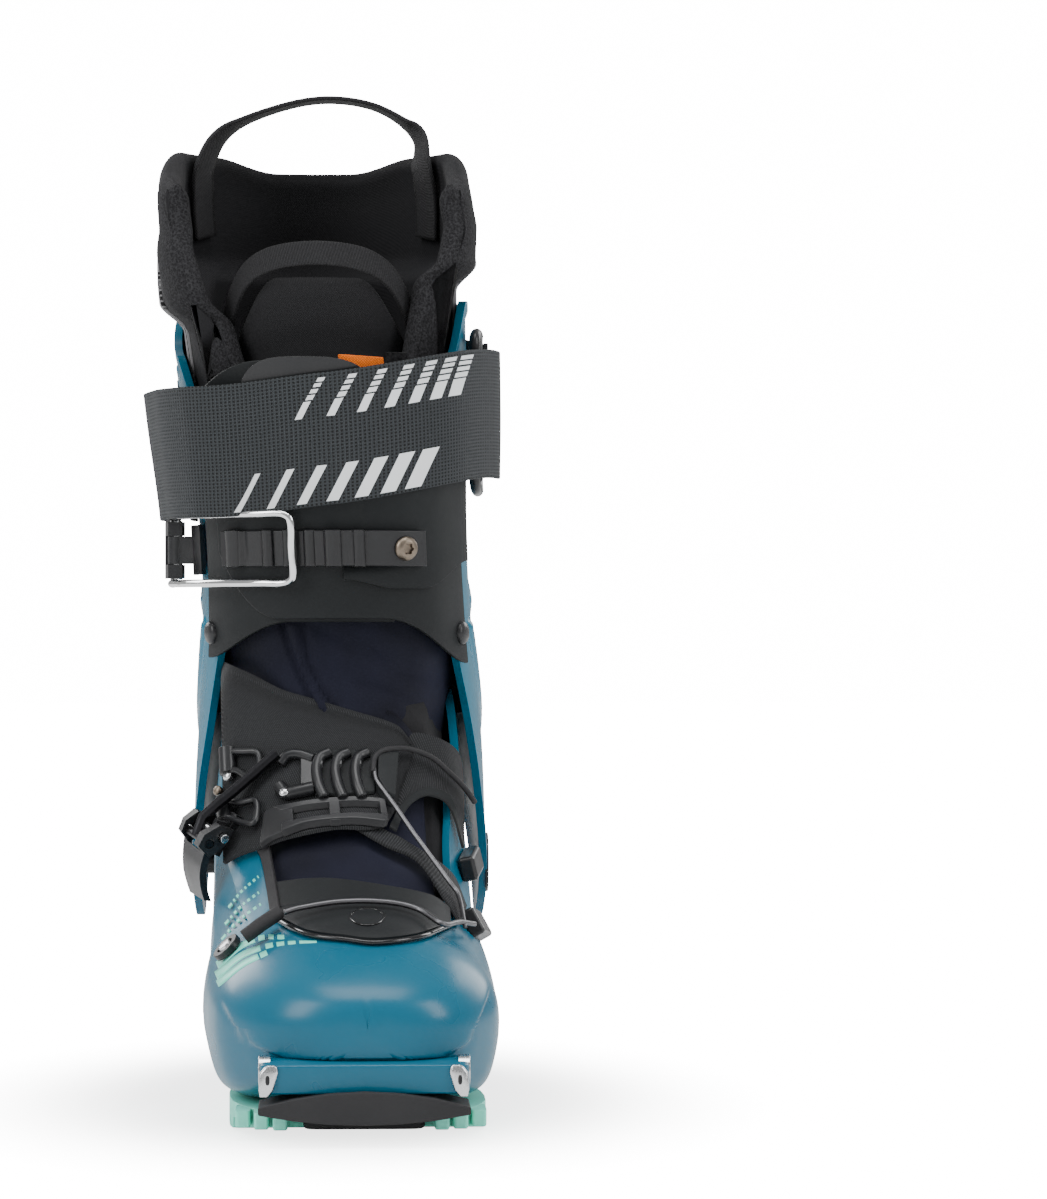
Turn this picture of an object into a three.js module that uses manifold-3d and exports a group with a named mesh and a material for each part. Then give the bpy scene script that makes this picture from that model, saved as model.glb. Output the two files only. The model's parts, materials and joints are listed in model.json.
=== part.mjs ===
// Alpine touring boot, right foot, in millimetres, +Z up, the toe towards -Y.
// The origin is on the floor, on the heel tread, straight under the ankle pivot axis (X).
import * as THREE from 'three';
import { mergeVertices } from 'three/addons/utils/BufferGeometryUtils.js';
import Module from 'manifold-3d';

const wasm = await Module();
wasm.setup();

// ---------------------------------------------------------------- driving dimensions
const GAP = 0.3; // between pieces that touch
const PIVOT_Z = 80; // height of the ankle pivot axis
const HEEL_Y = 66; // rear of the heel cup
const TOE_Y = -212; // front of the toe box
const SOLE_T = 10; // rubber under the shell
const SHELL_T = 3; // wall of the lower shell
const SHELL_RIM_Z = 146; // top of the ankle walls
const CUFF_T = 3; // wall of the cuff
const FLAP_T = 1.8; // black wrap plates of the cuff
const LINER_T = 8; // foam wall of the liner round the leg
const SOCK_T = 5; // foam wall of the liner round the foot
const LINER_GAP = 2.4; // between the shell's wall and the liner
const STRAP_T = 1.6; // power strap webbing
const STRAP_W = 46; // power strap width
const TOE_BLOCK_W = 69; // toe block between the binding pins
const HEEL_BLOCK_W = 61; // heel block
const PIVOT_PIN_R = 4; // ankle rivet
const PIVOT_CAP_R = 11; // ankle rivet's cap
const CABLE_R = 1.1; // closure cable
const WIRE_R = 1.4; // steel wire of the bail
const DRUM_REAR = 77; // what stays with the foot keeps inside this radius of the pivot axis at the rear
const DRUM_FRONT = 111; // and inside this one over the instep
const DRUM_GAP = 2; // between what stays with the foot and what turns with the cuff

// ---------------------------------------------------------------- solids from geometry
const deg = THREE.MathUtils.degToRad;
const degrees = THREE.MathUtils.radToDeg;
const V = (x, y, z) => new THREE.Vector3(x, y, z);
const mix = THREE.MathUtils.lerp;
const smooth = (value, from, to) => THREE.MathUtils.smoothstep(value, from, to);

/** A closed geometry as a solid, with its faces turned outwards. */
function solidOf(geometry) {
  const bare = geometry.clone();
  bare.deleteAttribute('normal');
  bare.deleteAttribute('uv');
  const merged = mergeVertices(bare, 1e-4);
  const index = merged.index.array;
  const kept = [];
  for (let i = 0; i < index.length; i += 3) {
    const [a, b, c] = [index[i], index[i + 1], index[i + 2]];
    if (a !== b && b !== c && a !== c) kept.push(a, b, c);
  }
  const build = (triangles) => new wasm.Manifold(new wasm.Mesh({
    numProp: 3,
    vertProperties: merged.attributes.position.array,
    triVerts: new Uint32Array(triangles),
  }));
  const solid = build(kept);
  return solid.volume() < 0 ? build(kept.reverse()) : solid;
}

/** A solid back as a three.js geometry. */
function geometryOf(solid) {
  const mesh = solid.getMesh();
  return new THREE.BufferGeometry()
    .setAttribute('position', new THREE.BufferAttribute(new Float32Array(mesh.vertProperties), 3))
    .setIndex(new THREE.BufferAttribute(mesh.triVerts, 1));
}

/** Points and triangles as a geometry. */
function geometryFrom(points, triangles) {
  return new THREE.BufferGeometry()
    .setFromPoints(points)
    .setIndex(triangles);
}

/** Closed rings of points, one after the other, skinned and capped at both ends. */
function loft(rings) {
  const n = rings[0].length;
  const points = rings.flat();
  const triangles = [];
  for (let r = 0; r + 1 < rings.length; r++) {
    for (let i = 0; i < n; i++) {
      const [a, b] = [r * n + i, r * n + (i + 1) % n];
      triangles.push(a, b, b + n, a, b + n, a + n);
    }
  }
  for (const [ring, start, flip] of [[rings[0], 0, true], [rings.at(-1), (rings.length - 1) * n, false]]) {
    const centre = points.push(ring.reduce((s, p) => s.add(p), V(0, 0, 0)).divideScalar(n)) - 1;
    for (let i = 0; i < n; i++) {
      const [a, b] = [start + i, start + (i + 1) % n];
      triangles.push(centre, ...(flip ? [b, a] : [a, b]));
    }
  }
  return solidOf(geometryFrom(points, triangles));
}

/** A thick sheet: outer(u, v) and inner(u, v) over the unit square, closed round u when wrap is true. */
function sheet(nu, nv, outer, inner, wrap = false) {
  const columns = wrap ? nu : nu + 1;
  const rows = nv + 1;
  const points = [];
  for (const side of [outer, inner]) {
    for (let i = 0; i < columns; i++) {
      for (let j = 0; j < rows; j++) points.push(side(i / nu, j / nv));
    }
  }
  const at = (side, i, j) => side * columns * rows + (i % columns) * rows + j;
  const triangles = [];
  const quad = (a, b, c, d) => triangles.push(a, b, c, a, c, d);
  for (let i = 0; i < nu; i++) {
    for (let j = 0; j < nv; j++) {
      quad(at(0, i, j), at(0, i + 1, j), at(0, i + 1, j + 1), at(0, i, j + 1));
      quad(at(1, i, j), at(1, i, j + 1), at(1, i + 1, j + 1), at(1, i + 1, j));
    }
    quad(at(0, i + 1, 0), at(0, i, 0), at(1, i, 0), at(1, i + 1, 0));
    quad(at(0, i, nv), at(0, i + 1, nv), at(1, i + 1, nv), at(1, i, nv));
  }
  for (let j = 0; j < nv && !wrap; j++) {
    quad(at(0, 0, j), at(0, 0, j + 1), at(1, 0, j + 1), at(1, 0, j));
    quad(at(0, nu, j + 1), at(0, nu, j), at(1, nu, j), at(1, nu, j + 1));
  }
  return solidOf(geometryFrom(points, triangles));
}

/** A flat outline pushed along its own Z, from `from` to `to`. */
function prism(outline, from, to, holes = []) {
  const shape = outline instanceof THREE.Shape ? outline : new THREE.Shape(outline.map(([x,
    y]) => new THREE.Vector2(x, y)));
  shape.holes.push(...holes);
  const geometry = new THREE.ExtrudeGeometry(shape,
    { depth: to - from, bevelEnabled: false, curveSegments: 6 });
  return solidOf(geometry.translate(0, 0, from));
}

/** A prism whose outline is in (Y, Z) and which runs along X. */
const prismX = (outline, from, to) => prism(outline, from, to).transform(
  new THREE.Matrix4().makeBasis(V(0, 1, 0), V(0, 0, 1), V(1, 0, 0)).elements);

/** A prism whose outline is in (X, Z) and which runs along +Y. */
const prismY = (outline, from, to) => prism(outline, -to, -from).transform(
  new THREE.Matrix4().makeBasis(V(1, 0, 0), V(0, 0, 1), V(0, -1, 0)).elements);

const box = (w, d, h) => solidOf(new THREE.BoxGeometry(w, d, h));
const rod = (radius, length, sides = 14) => solidOf(new THREE.CylinderGeometry(radius, radius, length,
  sides));

/** A cylinder along X, from x0 to x1, centred on (y, z). */
const rodX = (radius, x0, x1, y, z, sides = 16) =>
  rod(radius, x1 - x0, sides).rotate([0, 0, 90]).translate([(x0 + x1) / 2, y, z]);

/** A turned piece whose profile points are [radius, height] from the axis back to the axis, along +Z. */
const turned = (profile, sides = 14) => solidOf(
  new THREE.LatheGeometry(profile.map(([r, h]) => new THREE.Vector2(r, h)), sides).rotateX(Math.PI / 2));

/** A tube along a smooth line of points. */
function tube(points, radius, steps, sides = 8) {
  const section = new THREE.Shape(Array.from({ length: sides }, (_, i) => {
    const a = 2 * Math.PI * (i + 0.5) / sides;
    return new THREE.Vector2(radius * Math.cos(a), radius * Math.sin(a));
  }));
  const extrudePath = new THREE.CatmullRomCurve3(points);
  return solidOf(new THREE.ExtrudeGeometry(section, { steps, extrudePath, bevelEnabled: false }));
}

/** A flat strap of a width and thickness along a line, with the width direction given at each point. */
function strap(points, across, width, thickness, steps) {
  const path = new THREE.CatmullRomCurve3(points);
  const widths = new THREE.CatmullRomCurve3(across);
  const rings = Array.from({ length: steps + 1 }, (_, i) => {
    const centre = path.getPoint(i / steps);
    const tangent = path.getTangent(i / steps);
    const side = widths.getPoint(i / steps).projectOnPlane(tangent).normalize().multiplyScalar(width / 2);
    const up = tangent.clone().cross(side).normalize().multiplyScalar(thickness / 2);
    return [[1, 1], [-1, 1], [-1, -1], [1, -1]].map(
      ([s, t]) => centre.clone().addScaledVector(side, s).addScaledVector(up, t));
  });
  return loft(rings);
}

// ---------------------------------------------------------------- smooth tables
/** Values between the rows of a table, each row a key and its values, on a smooth curve. */
function rowAt(table, key) {
  const last = table.length - 1;
  const k = THREE.MathUtils.clamp(key, table[0][0], table[last][0]);
  let i = 0;
  while (i < last - 1 && k > table[i + 1][0]) i++;
  const [a, b] = [table[i], table[i + 1]];
  const [before, after] = [table[Math.max(i - 1, 0)], table[Math.min(i + 2, last)]];
  const span = b[0] - a[0];
  const t = (k - a[0]) / span;
  return a.slice(1).map((value, c) => {
    const next = b[c + 1];
    const slopeA = (next - before[c + 1]) / (b[0] - before[0]) * span;
    const slopeB = (after[c + 1] - value) / (after[0] - a[0]) * span;
    const [t2, t3] = [t * t, t * t * t];
    return (2 * t3 - 3 * t2 + 1) * value + (t3 - 2 * t2 + t) * slopeA
      + (3 * t2 - 2 * t3) * next + (t3 - t2) * slopeB;
  });
}

/** cos or sin sharpened or flattened to a superellipse of exponent n. */
const squared = (value, n) => Math.sign(value) * Math.abs(value) ** (2 / n);

// ---------------------------------------------------------------- the leg
// Outer face of the cuff: height, half width, rear, front, centre.
const LEG = [
  [52, 53, 55, -52, 0],
  [80, 55, 60, -62, 0],
  [110, 54.5, 64, -70, 0],
  [135, 53, 62.5, -77, 0],
  [170, 50.5, 56, -83, -1],
  [205, 50, 48, -88, -2.5],
  [245, 52.5, 38.5, -95, -5],
  [294, 54.5, 27, -104, -8],
  [345, 56, 16, -112, -10],
];
const LEG_SQUARE = 2.3;

/** A point of the leg: angle 0 is the rear, 90 degrees the +X side; off is outside the cuff's face. */
function legPoint(angle, z, off = 0) {
  const [half, rear, front, centre] = rowAt(LEG, z);
  const middle = (rear + front) / 2;
  return V(
    centre + (half + off) * squared(Math.sin(angle), LEG_SQUARE),
    middle + ((rear - front) / 2 + off) * squared(Math.cos(angle), LEG_SQUARE),
    z,
  );
}

/** A curved wall on the leg between two angles, two heights and two offsets (numbers or functions). */
function legWall({ from, to, low, high, inside, outside, nu = 24, nv = 6, wrap = false }) {
  const call = (f, ...args) => (typeof f === 'function' ? f(...args) : f);
  const face = (off) => (u, v) => {
    const angle = deg(mix(from, to, u));
    const z = mix(call(low, angle), call(high, angle), v);
    return legPoint(angle, z, call(off, angle, z));
  };
  return sheet(nu, nv, face(outside), face(inside), wrap);
}

// ---------------------------------------------------------------- the foot
// Lower shell: Y, half width, centre, top, height of full width, bottom width share, top squareness.
const FOOT = [
  [-212, 46, 9, 58, 36, 0.80, 2.4],
  [-180, 50, 7.5, 67, 36, 0.86, 2.4],
  [-155, 51, 5, 71.5, 36, 0.88, 2.3],
  [-128, 50, 3, 84, 38, 0.86, 2.2],
  [-106, 47.5, 2, 100, 44, 0.80, 2.2],
  [-92, 46.5, 1, 116, 50, 0.76, 2.3],
  [-84, 46, 1, 130, 54, 0.74, 2.4],
  [-76, 45.5, 0.5, 150, 58, 0.73, 2.6],
  [-60, 45, 0, 178, 60, 0.72, 3.2],
  [0, 46, 0, 182, 62, 0.68, 3.4],
  [40, 46, 0, 182, 62, 0.66, 3.2],
  [66, 44, 0, 176, 62, 0.66, 2.8],
];
const TOE_ROUND = { from: -140, power: 2.7, height: 38 };
const HEEL_ROUND = { from: 8, power: 2.6, height: 80 };
const ACHILLES_LEAN = 0.17;

/** How much a section has closed towards the toe or heel end, from 1 to 0, and the height it closes on. */
function endRound(y, off) {
  const shut = (round, end) => {
    const t = THREE.MathUtils.clamp((y - round.from) / (end - round.from), 0, 1);
    return (1 - t ** round.power) ** (1 / round.power);
  };
  return y < TOE_ROUND.from
    ? [shut(TOE_ROUND, TOE_Y - off), TOE_ROUND.height]
    : [shut(HEEL_ROUND, HEEL_Y + off), HEEL_ROUND.height];
}

/** A point of the foot: angle 0 is the top, 90 degrees the +X side; off is outside the shell's face. */
function footPoint(y, angle, off = 0, floor = SOLE_T + GAP) {
  const [half, centre, top, wideZ, share, square] = rowAt(FOOT, y);
  const [open, closeZ] = endRound(y, off);
  const up = Math.cos(angle);
  const reach = up > 0 ? top + off - wideZ : wideZ - floor;
  const n = up > 0 ? square : 5;
  const rawZ = wideZ + reach * squared(up, n);
  const z = mix(closeZ, rawZ, open ** 0.8);
  const narrow = mix(share, 1, smooth(z, floor, wideZ));
  const lean = y > 0 ? ACHILLES_LEAN * Math.max(0, z - 62) * smooth(y, 0, 45) : 0;
  return V(centre + (half + off) * narrow * open * squared(Math.sin(angle), n), y - lean, z);
}

/** The whole foot as one solid, off outside the shell's face, with stations crowded at both ends. */
function footSolid(off, stations, sides, floor) {
  const [front, rear] = [TOE_Y - off, HEEL_Y + off];
  const rings = Array.from({ length: stations + 1 }, (_, i) => {
    const t = mix(0.012, 0.988, i / stations);
    const eased = mix(t, (1 - Math.cos(Math.PI * t)) / 2, 0.85);
    return Array.from({ length: sides }, (_, k) => {
      const angle = 2 * Math.PI * (k + 0.5) / sides;
      return footPoint(mix(front, rear, eased), angle + 0.38 * Math.sin(2 * angle), off, floor);
    });
  });
  return loft(rings);
}

/** A curved pad on the foot between two stations and two angles, which may depend on the place. */
function footPad({ y0, y1, a0, a1, inside, outside, nu = 10, nv = 5 }) {
  const call = (f, ...args) => (typeof f === 'function' ? f(...args) : f);
  const face = (off) => (u, v) => {
    const angle = deg(mix(call(a0, v), call(a1, v), u));
    const y = mix(call(y0, u), call(y1, u), v);
    return footPoint(y, angle, call(off, u, v));
  };
  return sheet(nu, nv, face(outside), face(inside));
}

/** The frame at a point of a surface: X across, Y along, Z out of it. */
function frameAt(point, du, dv, outward) {
  const across = du.sub(point).normalize();
  const out = across.clone().cross(dv.sub(point)).normalize();
  if (out.dot(outward) < 0) out.negate();
  const along = out.clone().cross(across).normalize();
  return new THREE.Matrix4().makeBasis(across, along, out).setPosition(point);
}
const footFrame = (y, angle, off) => {
  const a = deg(angle);
  const p = footPoint(y, a, off);
  return frameAt(p, footPoint(y, a + 0.01, off), footPoint(y + 0.5, a, off),
    V(Math.sin(a), 0, Math.cos(a)));
};
const legFrame = (angle, z, off) => {
  const a = deg(angle);
  const p = legPoint(a, z, off);
  return frameAt(p, legPoint(a + 0.01, z, off), legPoint(a, z + 0.5, off), V(Math.sin(a), Math.cos(a), 0));
};
const placed = (solid, frame) => solid.transform(frame.elements);

// ---------------------------------------------------------------- meshes and groups
const material = (color, roughness,
  metalness = 0) => new THREE.MeshStandardMaterial({ color, roughness, metalness });
const MATERIALS = {
  teal: material(0x1f6680, 0.32),
  black: material(0x17181a, 0.42),
  rubber: material(0x1c1c1e, 0.75),
  mint: material(0x86dcc8, 0.6),
  steel: material(0xc9cdd0, 0.28, 1),
  spring: material(0x9a8460, 0.35, 1),
  liner: material(0x1a1b1d, 0.95),
  gaiter: material(0x1b1e2c, 0.9),
  webbing: material(0x26292d, 0.85),
  orange: material(0xe8761a, 0.7),
};
const boot = new THREE.Group();

/** Adds a solid to the boot as a named mesh. */
function add(name, solid, finish) {
  const mesh = new THREE.Mesh(geometryOf(solid), MATERIALS[finish]);
  mesh.name = name;
  boot.add(mesh);
  return solid;
}

// ---------------------------------------------------------------- room for the ankle joint
const FAR = 400;
const WEDGE = 118; // the foot's front starts at this angle from the rear, about the pivot axis
const SWING = 25; // the cuff turns this far each way
const drum = (radius, half = FAR) => rodX(radius, -half, half, 0, PIVOT_Z, 72);

/** Everything in front of a line that leaves the pivot axis at an angle from the rear. */
const wedge = (angle, bottom = -50) => prismX([
  [0, PIVOT_Z],
  [FAR * Math.cos(deg(angle)), PIVOT_Z + FAR * Math.sin(deg(angle))],
  [-FAR, PIVOT_Z + FAR * Math.sin(deg(angle))],
  [-FAR, bottom],
  [0, bottom],
], -FAR, FAR);

const footRoom = drum(DRUM_REAR).add(drum(DRUM_FRONT).intersect(wedge(WEDGE)))
  .add(prismX([[-FAR, -50], [FAR, -50], [FAR, 40], [-95, 40], [-95, 112], [-FAR, 112]], -FAR, FAR));
const cuffRoom = drum(DRUM_REAR + DRUM_GAP)
  .add(drum(DRUM_FRONT + DRUM_GAP).intersect(wedge(WEDGE - SWING - 3)));
const staysWithFoot = (solid) => solid.intersect(footRoom);
const staysWithCuff = (solid) => solid.subtract(cuffRoom);

// ---------------------------------------------------------------- lower shell
const BOSS_R = 12;
const CUFF_SIDE_X = 55; // the cuff's face beside the pivots
const BOSS_X = CUFF_SIDE_X - CUFF_T - 1.6;
const OPENING_TOE_Y = -146;
const OPENING_HALF = 34;
const REAR_RIM_Z = 98;

/** What is cut from the shell's top: the instep opening, the ankle and the dip behind it. */
function shellOpening() {
  const instep = new THREE.Shape();
  instep.moveTo(-OPENING_HALF - 5, 20);
  instep.lineTo(-OPENING_HALF - 5, -70);
  instep.lineTo(-OPENING_HALF, OPENING_TOE_Y + 16);
  instep.quadraticCurveTo(0, OPENING_TOE_Y - 14, OPENING_HALF + 2, OPENING_TOE_Y + 20);
  instep.lineTo(OPENING_HALF + 5, -70);
  instep.lineTo(OPENING_HALF + 5, 20);
  const rear = new THREE.Shape();
  rear.moveTo(2, SHELL_RIM_Z);
  rear.quadraticCurveTo(22, REAR_RIM_Z + 2, 42, REAR_RIM_Z);
  rear.lineTo(90, REAR_RIM_Z);
  rear.lineTo(90, 220);
  rear.lineTo(2, 220);
  return prism(instep, 52, 260)
    .add(prism([[-90, -FAR], [90, -FAR], [90, FAR], [-90, FAR]], SHELL_RIM_Z, 260))
    .add(prismX([[-70, 118], [-38, SHELL_RIM_Z], [-38, 260], [-70, 260]], -90, 90))
    .add(prismX(rear, -90, 90));
}

/** The block under the toe or heel that the binding grips. */
function bindingBlock(width, y0, y1, z0, z1, corner) {
  const half = width / 2;
  const shape = new THREE.Shape();
  shape.moveTo(-half, y0);
  shape.lineTo(half, y0);
  shape.lineTo(half, y1 - Math.sign(y1 - y0) * corner);
  shape.quadraticCurveTo(half - corner * 0.2, y1, half - corner, y1);
  shape.lineTo(-half + corner, y1);
  shape.quadraticCurveTo(-half + corner * 0.2, y1, -half, y1 - Math.sign(y1 - y0) * corner);
  return prism(shape, z0, z1);
}

const TOE_CENTRE = 8;
const TOE_BLOCK = { front: -217, back: -186, bottom: 19, top: 31 };
const HEEL_BLOCK = { front: 20, back: 72, top: 34 };
const INSERT = { y: -207, z: 24.5, r: 5, deep: 4 };
const HEEL_PLATE = { width: 27, bottom: 12, top: 30, t: 2.5, recess: 3.5 };

/** A steel cup in the side of the toe block, for the binding's pin. side is -1 or 1. */
const insertCup = (side, room = 0) => {
  const face = TOE_CENTRE + side * TOE_BLOCK_W / 2;
  const x = [face - side * (INSERT.deep + room), face + side * (room ? 1 : 0)].sort((p, q) => p - q);
  return rodX(INSERT.r + room, x[0], x[1], INSERT.y, INSERT.z);
};

const pivotHole = (radius) => rodX(radius, -FAR, FAR, 0, PIVOT_Z);

function lowerShell() {
  const outer = footSolid(0, 24, 30, SOLE_T + GAP)
    .add(bindingBlock(TOE_BLOCK_W, TOE_BLOCK.back, TOE_BLOCK.front, TOE_BLOCK.bottom, TOE_BLOCK.top,
      9).translate([TOE_CENTRE, 0, 0]))
    .add(bindingBlock(HEEL_BLOCK_W, HEEL_BLOCK.front, HEEL_BLOCK.back, SOLE_T + GAP, HEEL_BLOCK.top, 5))
    .add(rodX(BOSS_R, -BOSS_X, BOSS_X, 0, PIVOT_Z));
  const inner = footSolid(-SHELL_T, 16, 22, SOLE_T + 4)
    .subtract(box(FAR, FAR, 2 * (SOLE_T + 4)));
  return outer
    .subtract(inner)
    .subtract(shellOpening())
    .subtract(pivotHole(PIVOT_PIN_R + GAP))
    .subtract(insertCup(-1, GAP))
    .subtract(insertCup(1, GAP))
    .subtract(prismY([
      [-HEEL_PLATE.width / 2 - GAP, HEEL_PLATE.bottom - GAP],
        [HEEL_PLATE.width / 2 + GAP, HEEL_PLATE.bottom - GAP],
      [HEEL_PLATE.width / 2 + GAP, HEEL_PLATE.top + GAP],
        [-HEEL_PLATE.width / 2 - GAP, HEEL_PLATE.top + GAP],
    ], HEEL_BLOCK.back - HEEL_PLATE.recess, HEEL_BLOCK.back + 5))
    .subtract(rodX(2.5 + GAP, -9, 9, 0, 0).rotate([0, 0, 90]).translate([0, HEEL_BLOCK.back - 3, 17]));
}
add('lower_shell', lowerShell(), 'teal');

// ---------------------------------------------------------------- soles and binding fittings
const LUG_GROOVE = 4;
const GROOVE_DEEP = 4;

/** A rubber sole with an outline in plan, cut by grooves across it at the given stations. */
function treadedSole(shape, grooves, thickness = SOLE_T) {
  return grooves.reduce(
    (sole, y) => sole.subtract(box(200, LUG_GROOVE, 2 * GROOVE_DEEP).translate([0, y, 0])),
    prism(shape, 0, thickness),
  );
}

const forefoot = new THREE.Shape();
forefoot.moveTo(-33, -72);
forefoot.bezierCurveTo(-38, -110, -39, -140, -36, -165);
forefoot.quadraticCurveTo(-30, -194, -22, -194);
forefoot.lineTo(38, -194);
forefoot.quadraticCurveTo(46, -194, 49, -165);
forefoot.bezierCurveTo(50, -140, 46, -110, 34, -72);
add('forefoot_sole', treadedSole(forefoot, [-88, -104, -120, -136, -152, -168, -184])
  .subtract(box(10, 110, 2 * GROOVE_DEEP).translate([6, -136, 0])), 'mint');

const heel = new THREE.Shape();
const HEEL_SOLE_HALF = HEEL_BLOCK_W / 2;
heel.moveTo(-HEEL_SOLE_HALF, -20);
heel.lineTo(HEEL_SOLE_HALF, -20);
heel.lineTo(HEEL_SOLE_HALF, HEEL_BLOCK.back - 6);
heel.quadraticCurveTo(HEEL_SOLE_HALF, HEEL_BLOCK.back, HEEL_SOLE_HALF - 6, HEEL_BLOCK.back);
heel.lineTo(6 - HEEL_SOLE_HALF, HEEL_BLOCK.back);
heel.quadraticCurveTo(-HEEL_SOLE_HALF, HEEL_BLOCK.back, -HEEL_SOLE_HALF, HEEL_BLOCK.back - 6);
add('heel_sole', treadedSole(heel, [-8, 22, 38, 54])
  .subtract(box(6, 52, 2 * GROOVE_DEEP).translate([-11, 48, 0]))
  .subtract(box(6, 52, 2 * GROOVE_DEEP).translate([11, 48, 0])), 'rubber');

const bumper = new THREE.Shape();
const BUMPER_HALF = TOE_BLOCK_W / 2;
bumper.moveTo(-BUMPER_HALF, 11);
bumper.quadraticCurveTo(0, 4, BUMPER_HALF, 11);
bumper.lineTo(BUMPER_HALF, 13.5);
bumper.quadraticCurveTo(0, 23.5, -BUMPER_HALF, 13.5);
add('toe_bumper', prismY(bumper, -218.5, -194.6).translate([TOE_CENTRE, 0, 0])
  .subtract(footSolid(GAP, 24, 28, SOLE_T))
  .subtract(bindingBlock(TOE_BLOCK_W + 1, -150, TOE_BLOCK.front - GAP, TOE_BLOCK.bottom - GAP, 40,
    9).translate([TOE_CENTRE, 0, 0])), 'rubber');

for (const [side, name] of [[-1, 'lateral'], [1, 'medial']]) {
  const dimple = turned([[0, -3], [2.6, 0.3], [0, 0.3]], 12).rotate([0, side * 90, 0])
    .translate([TOE_CENTRE + side * TOE_BLOCK_W / 2, INSERT.y, INSERT.z]);
  add(`toe_insert_${name}`, insertCup(side).subtract(dimple), 'steel');
}

const heelPlate = new THREE.Shape();
const [PLATE_HALF, PLATE_LOW, PLATE_HIGH] = [HEEL_PLATE.width / 2, HEEL_PLATE.bottom, HEEL_PLATE.top];
heelPlate.moveTo(-PLATE_HALF, PLATE_HIGH);
heelPlate.lineTo(-PLATE_HALF, PLATE_HIGH - 3.5);
heelPlate.quadraticCurveTo(-7, PLATE_HIGH - 4, -8, PLATE_HIGH - 7);
heelPlate.lineTo(-PLATE_HALF + 3, PLATE_LOW + 8.5);
heelPlate.lineTo(-6.5, PLATE_LOW);
heelPlate.lineTo(6.5, PLATE_LOW);
heelPlate.lineTo(PLATE_HALF - 3, PLATE_LOW + 8.5);
heelPlate.lineTo(8, PLATE_HIGH - 7);
heelPlate.quadraticCurveTo(7, PLATE_HIGH - 4, PLATE_HALF, PLATE_HIGH - 3.5);
heelPlate.lineTo(PLATE_HALF, PLATE_HIGH);
const heelPlateY = HEEL_BLOCK.back - HEEL_PLATE.recess + GAP;
const alongY = (solid, y, z, x = 0) => solid.rotate([-90, 0, 0]).translate([x, y, z]);
add('heel_insert', prismY(heelPlate, heelPlateY, heelPlateY + HEEL_PLATE.t)
  .subtract(alongY(rod(2.5 + GAP, 20).rotate([90, 0, 0]), HEEL_BLOCK.back - 3, 17)), 'steel');

/** A pan-head screw along +Z: shank below the seat at 0, domed head above it with a socket. */
function screw(headR, headH, shankR, shankL) {
  const head = turned([[0, -shankL], [shankR, -shankL], [shankR, 0.05], [headR, 0.05],
    [headR, headH * 0.5], [headR * 0.7, headH], [0, headH]]);
  return head.subtract(rod(headR * 0.42, headH * 1.2, 6).rotate([90, 0, 0]).translate([0, 0, headH]));
}
add('heel_insert_screw', alongY(screw(4.6, 2.2, 2.5, 5), heelPlateY + HEEL_PLATE.t + GAP, 17), 'steel');

// ---------------------------------------------------------------- inside the shell
add('boot_board', footSolid(-SHELL_T - 1.4, 12, 22, SOLE_T + 4.8)
  .intersect(box(FAR, FAR, 4.2).translate([0, 0, SOLE_T + 6.9])), 'black');

const SOCK_FLOOR = SOLE_T + 9.4;
const SOCK_OFF = -SHELL_T - LINER_GAP;
const sockInside = footSolid(SOCK_OFF - SOCK_T, 12, 16, SOCK_FLOOR)
  .subtract(box(FAR, FAR, 12).translate([0, 0, SOCK_FLOOR - 1]));
const GAITER_PAD = { y0: -140, y1: -78.5, a0: -38, a1: 38, nu: 10, nv: 7 };
const underGaiter = footPad({ ...GAITER_PAD, a0: -46, a1: 46, inside: -6.1, outside: 6 });
const sockMouth = prismX([[-62, 135], [-74, 300], [200, 300], [200, 104], [36, 104], [24, 128]], -90, 90);
add('inner_boot_foot', staysWithFoot(
  footSolid(SOCK_OFF, 14, 22, SOCK_FLOOR).subtract(box(FAR, FAR, 2 * SOCK_FLOOR)).subtract(sockInside)
    .subtract(sockMouth).subtract(underGaiter)), 'liner');

// ---------------------------------------------------------------- instep: gaiter, flaps, pads
const onInstep = (solid) => staysWithFoot(solid);
add('gaiter_foot', onInstep(footPad({ ...GAITER_PAD, inside: -SHELL_T - 2.5, outside: -SHELL_T - 1.1 })),
  'gaiter');

const FLAP_UNDER = [0.8, 2];
const FLAP_OVER = [2.9, 4.1];
add('instep_flap_medial', onInstep(footPad({
  y0: (u) => mix(-105, -97, u), y1: -80, a0: -12, a1: 66, inside: FLAP_UNDER[0],
    outside: FLAP_UNDER[1] })), 'rubber');
const flapLateral = (grow) => footPad({
  y0: (u) => mix(-112, -97, u), y1: (u) => mix(-74, -86, u), a0: -70, a1: 34,
  inside: FLAP_OVER[0] - 3 * grow, outside: FLAP_OVER[1] + grow });
add('instep_flap_lateral', onInstep(flapLateral(0)), 'rubber');
add('instep_strap_pad', footPad({ y0: (u) => -150 - 5 * Math.cos(Math.PI * (u - 0.5)), y1: -134,
  a0: -46, a1: 48, inside: 0.4, outside: (u) => 1.4 + 1.4 * Math.sin(Math.PI * u), nu: 12, nv: 3 }),
    'rubber');

/** A pad on the instep with windows cut through it. */
const catchPad = footPad({ y0: -112.5, y1: -103, a0: -19, a1: 25, inside: FLAP_OVER[1] + GAP,
  outside: 6.4, nu: 10, nv: 1 });
const catchWindow = (a0, a1) => footPad({ y0: -110.6, y1: -105, a0, a1, inside: 1, outside: 12, nu: 4,
  nv: 1 });
add('instep_catch', catchPad.subtract(catchWindow(-14, 1)).subtract(catchWindow(4, 20)), 'black');

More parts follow.
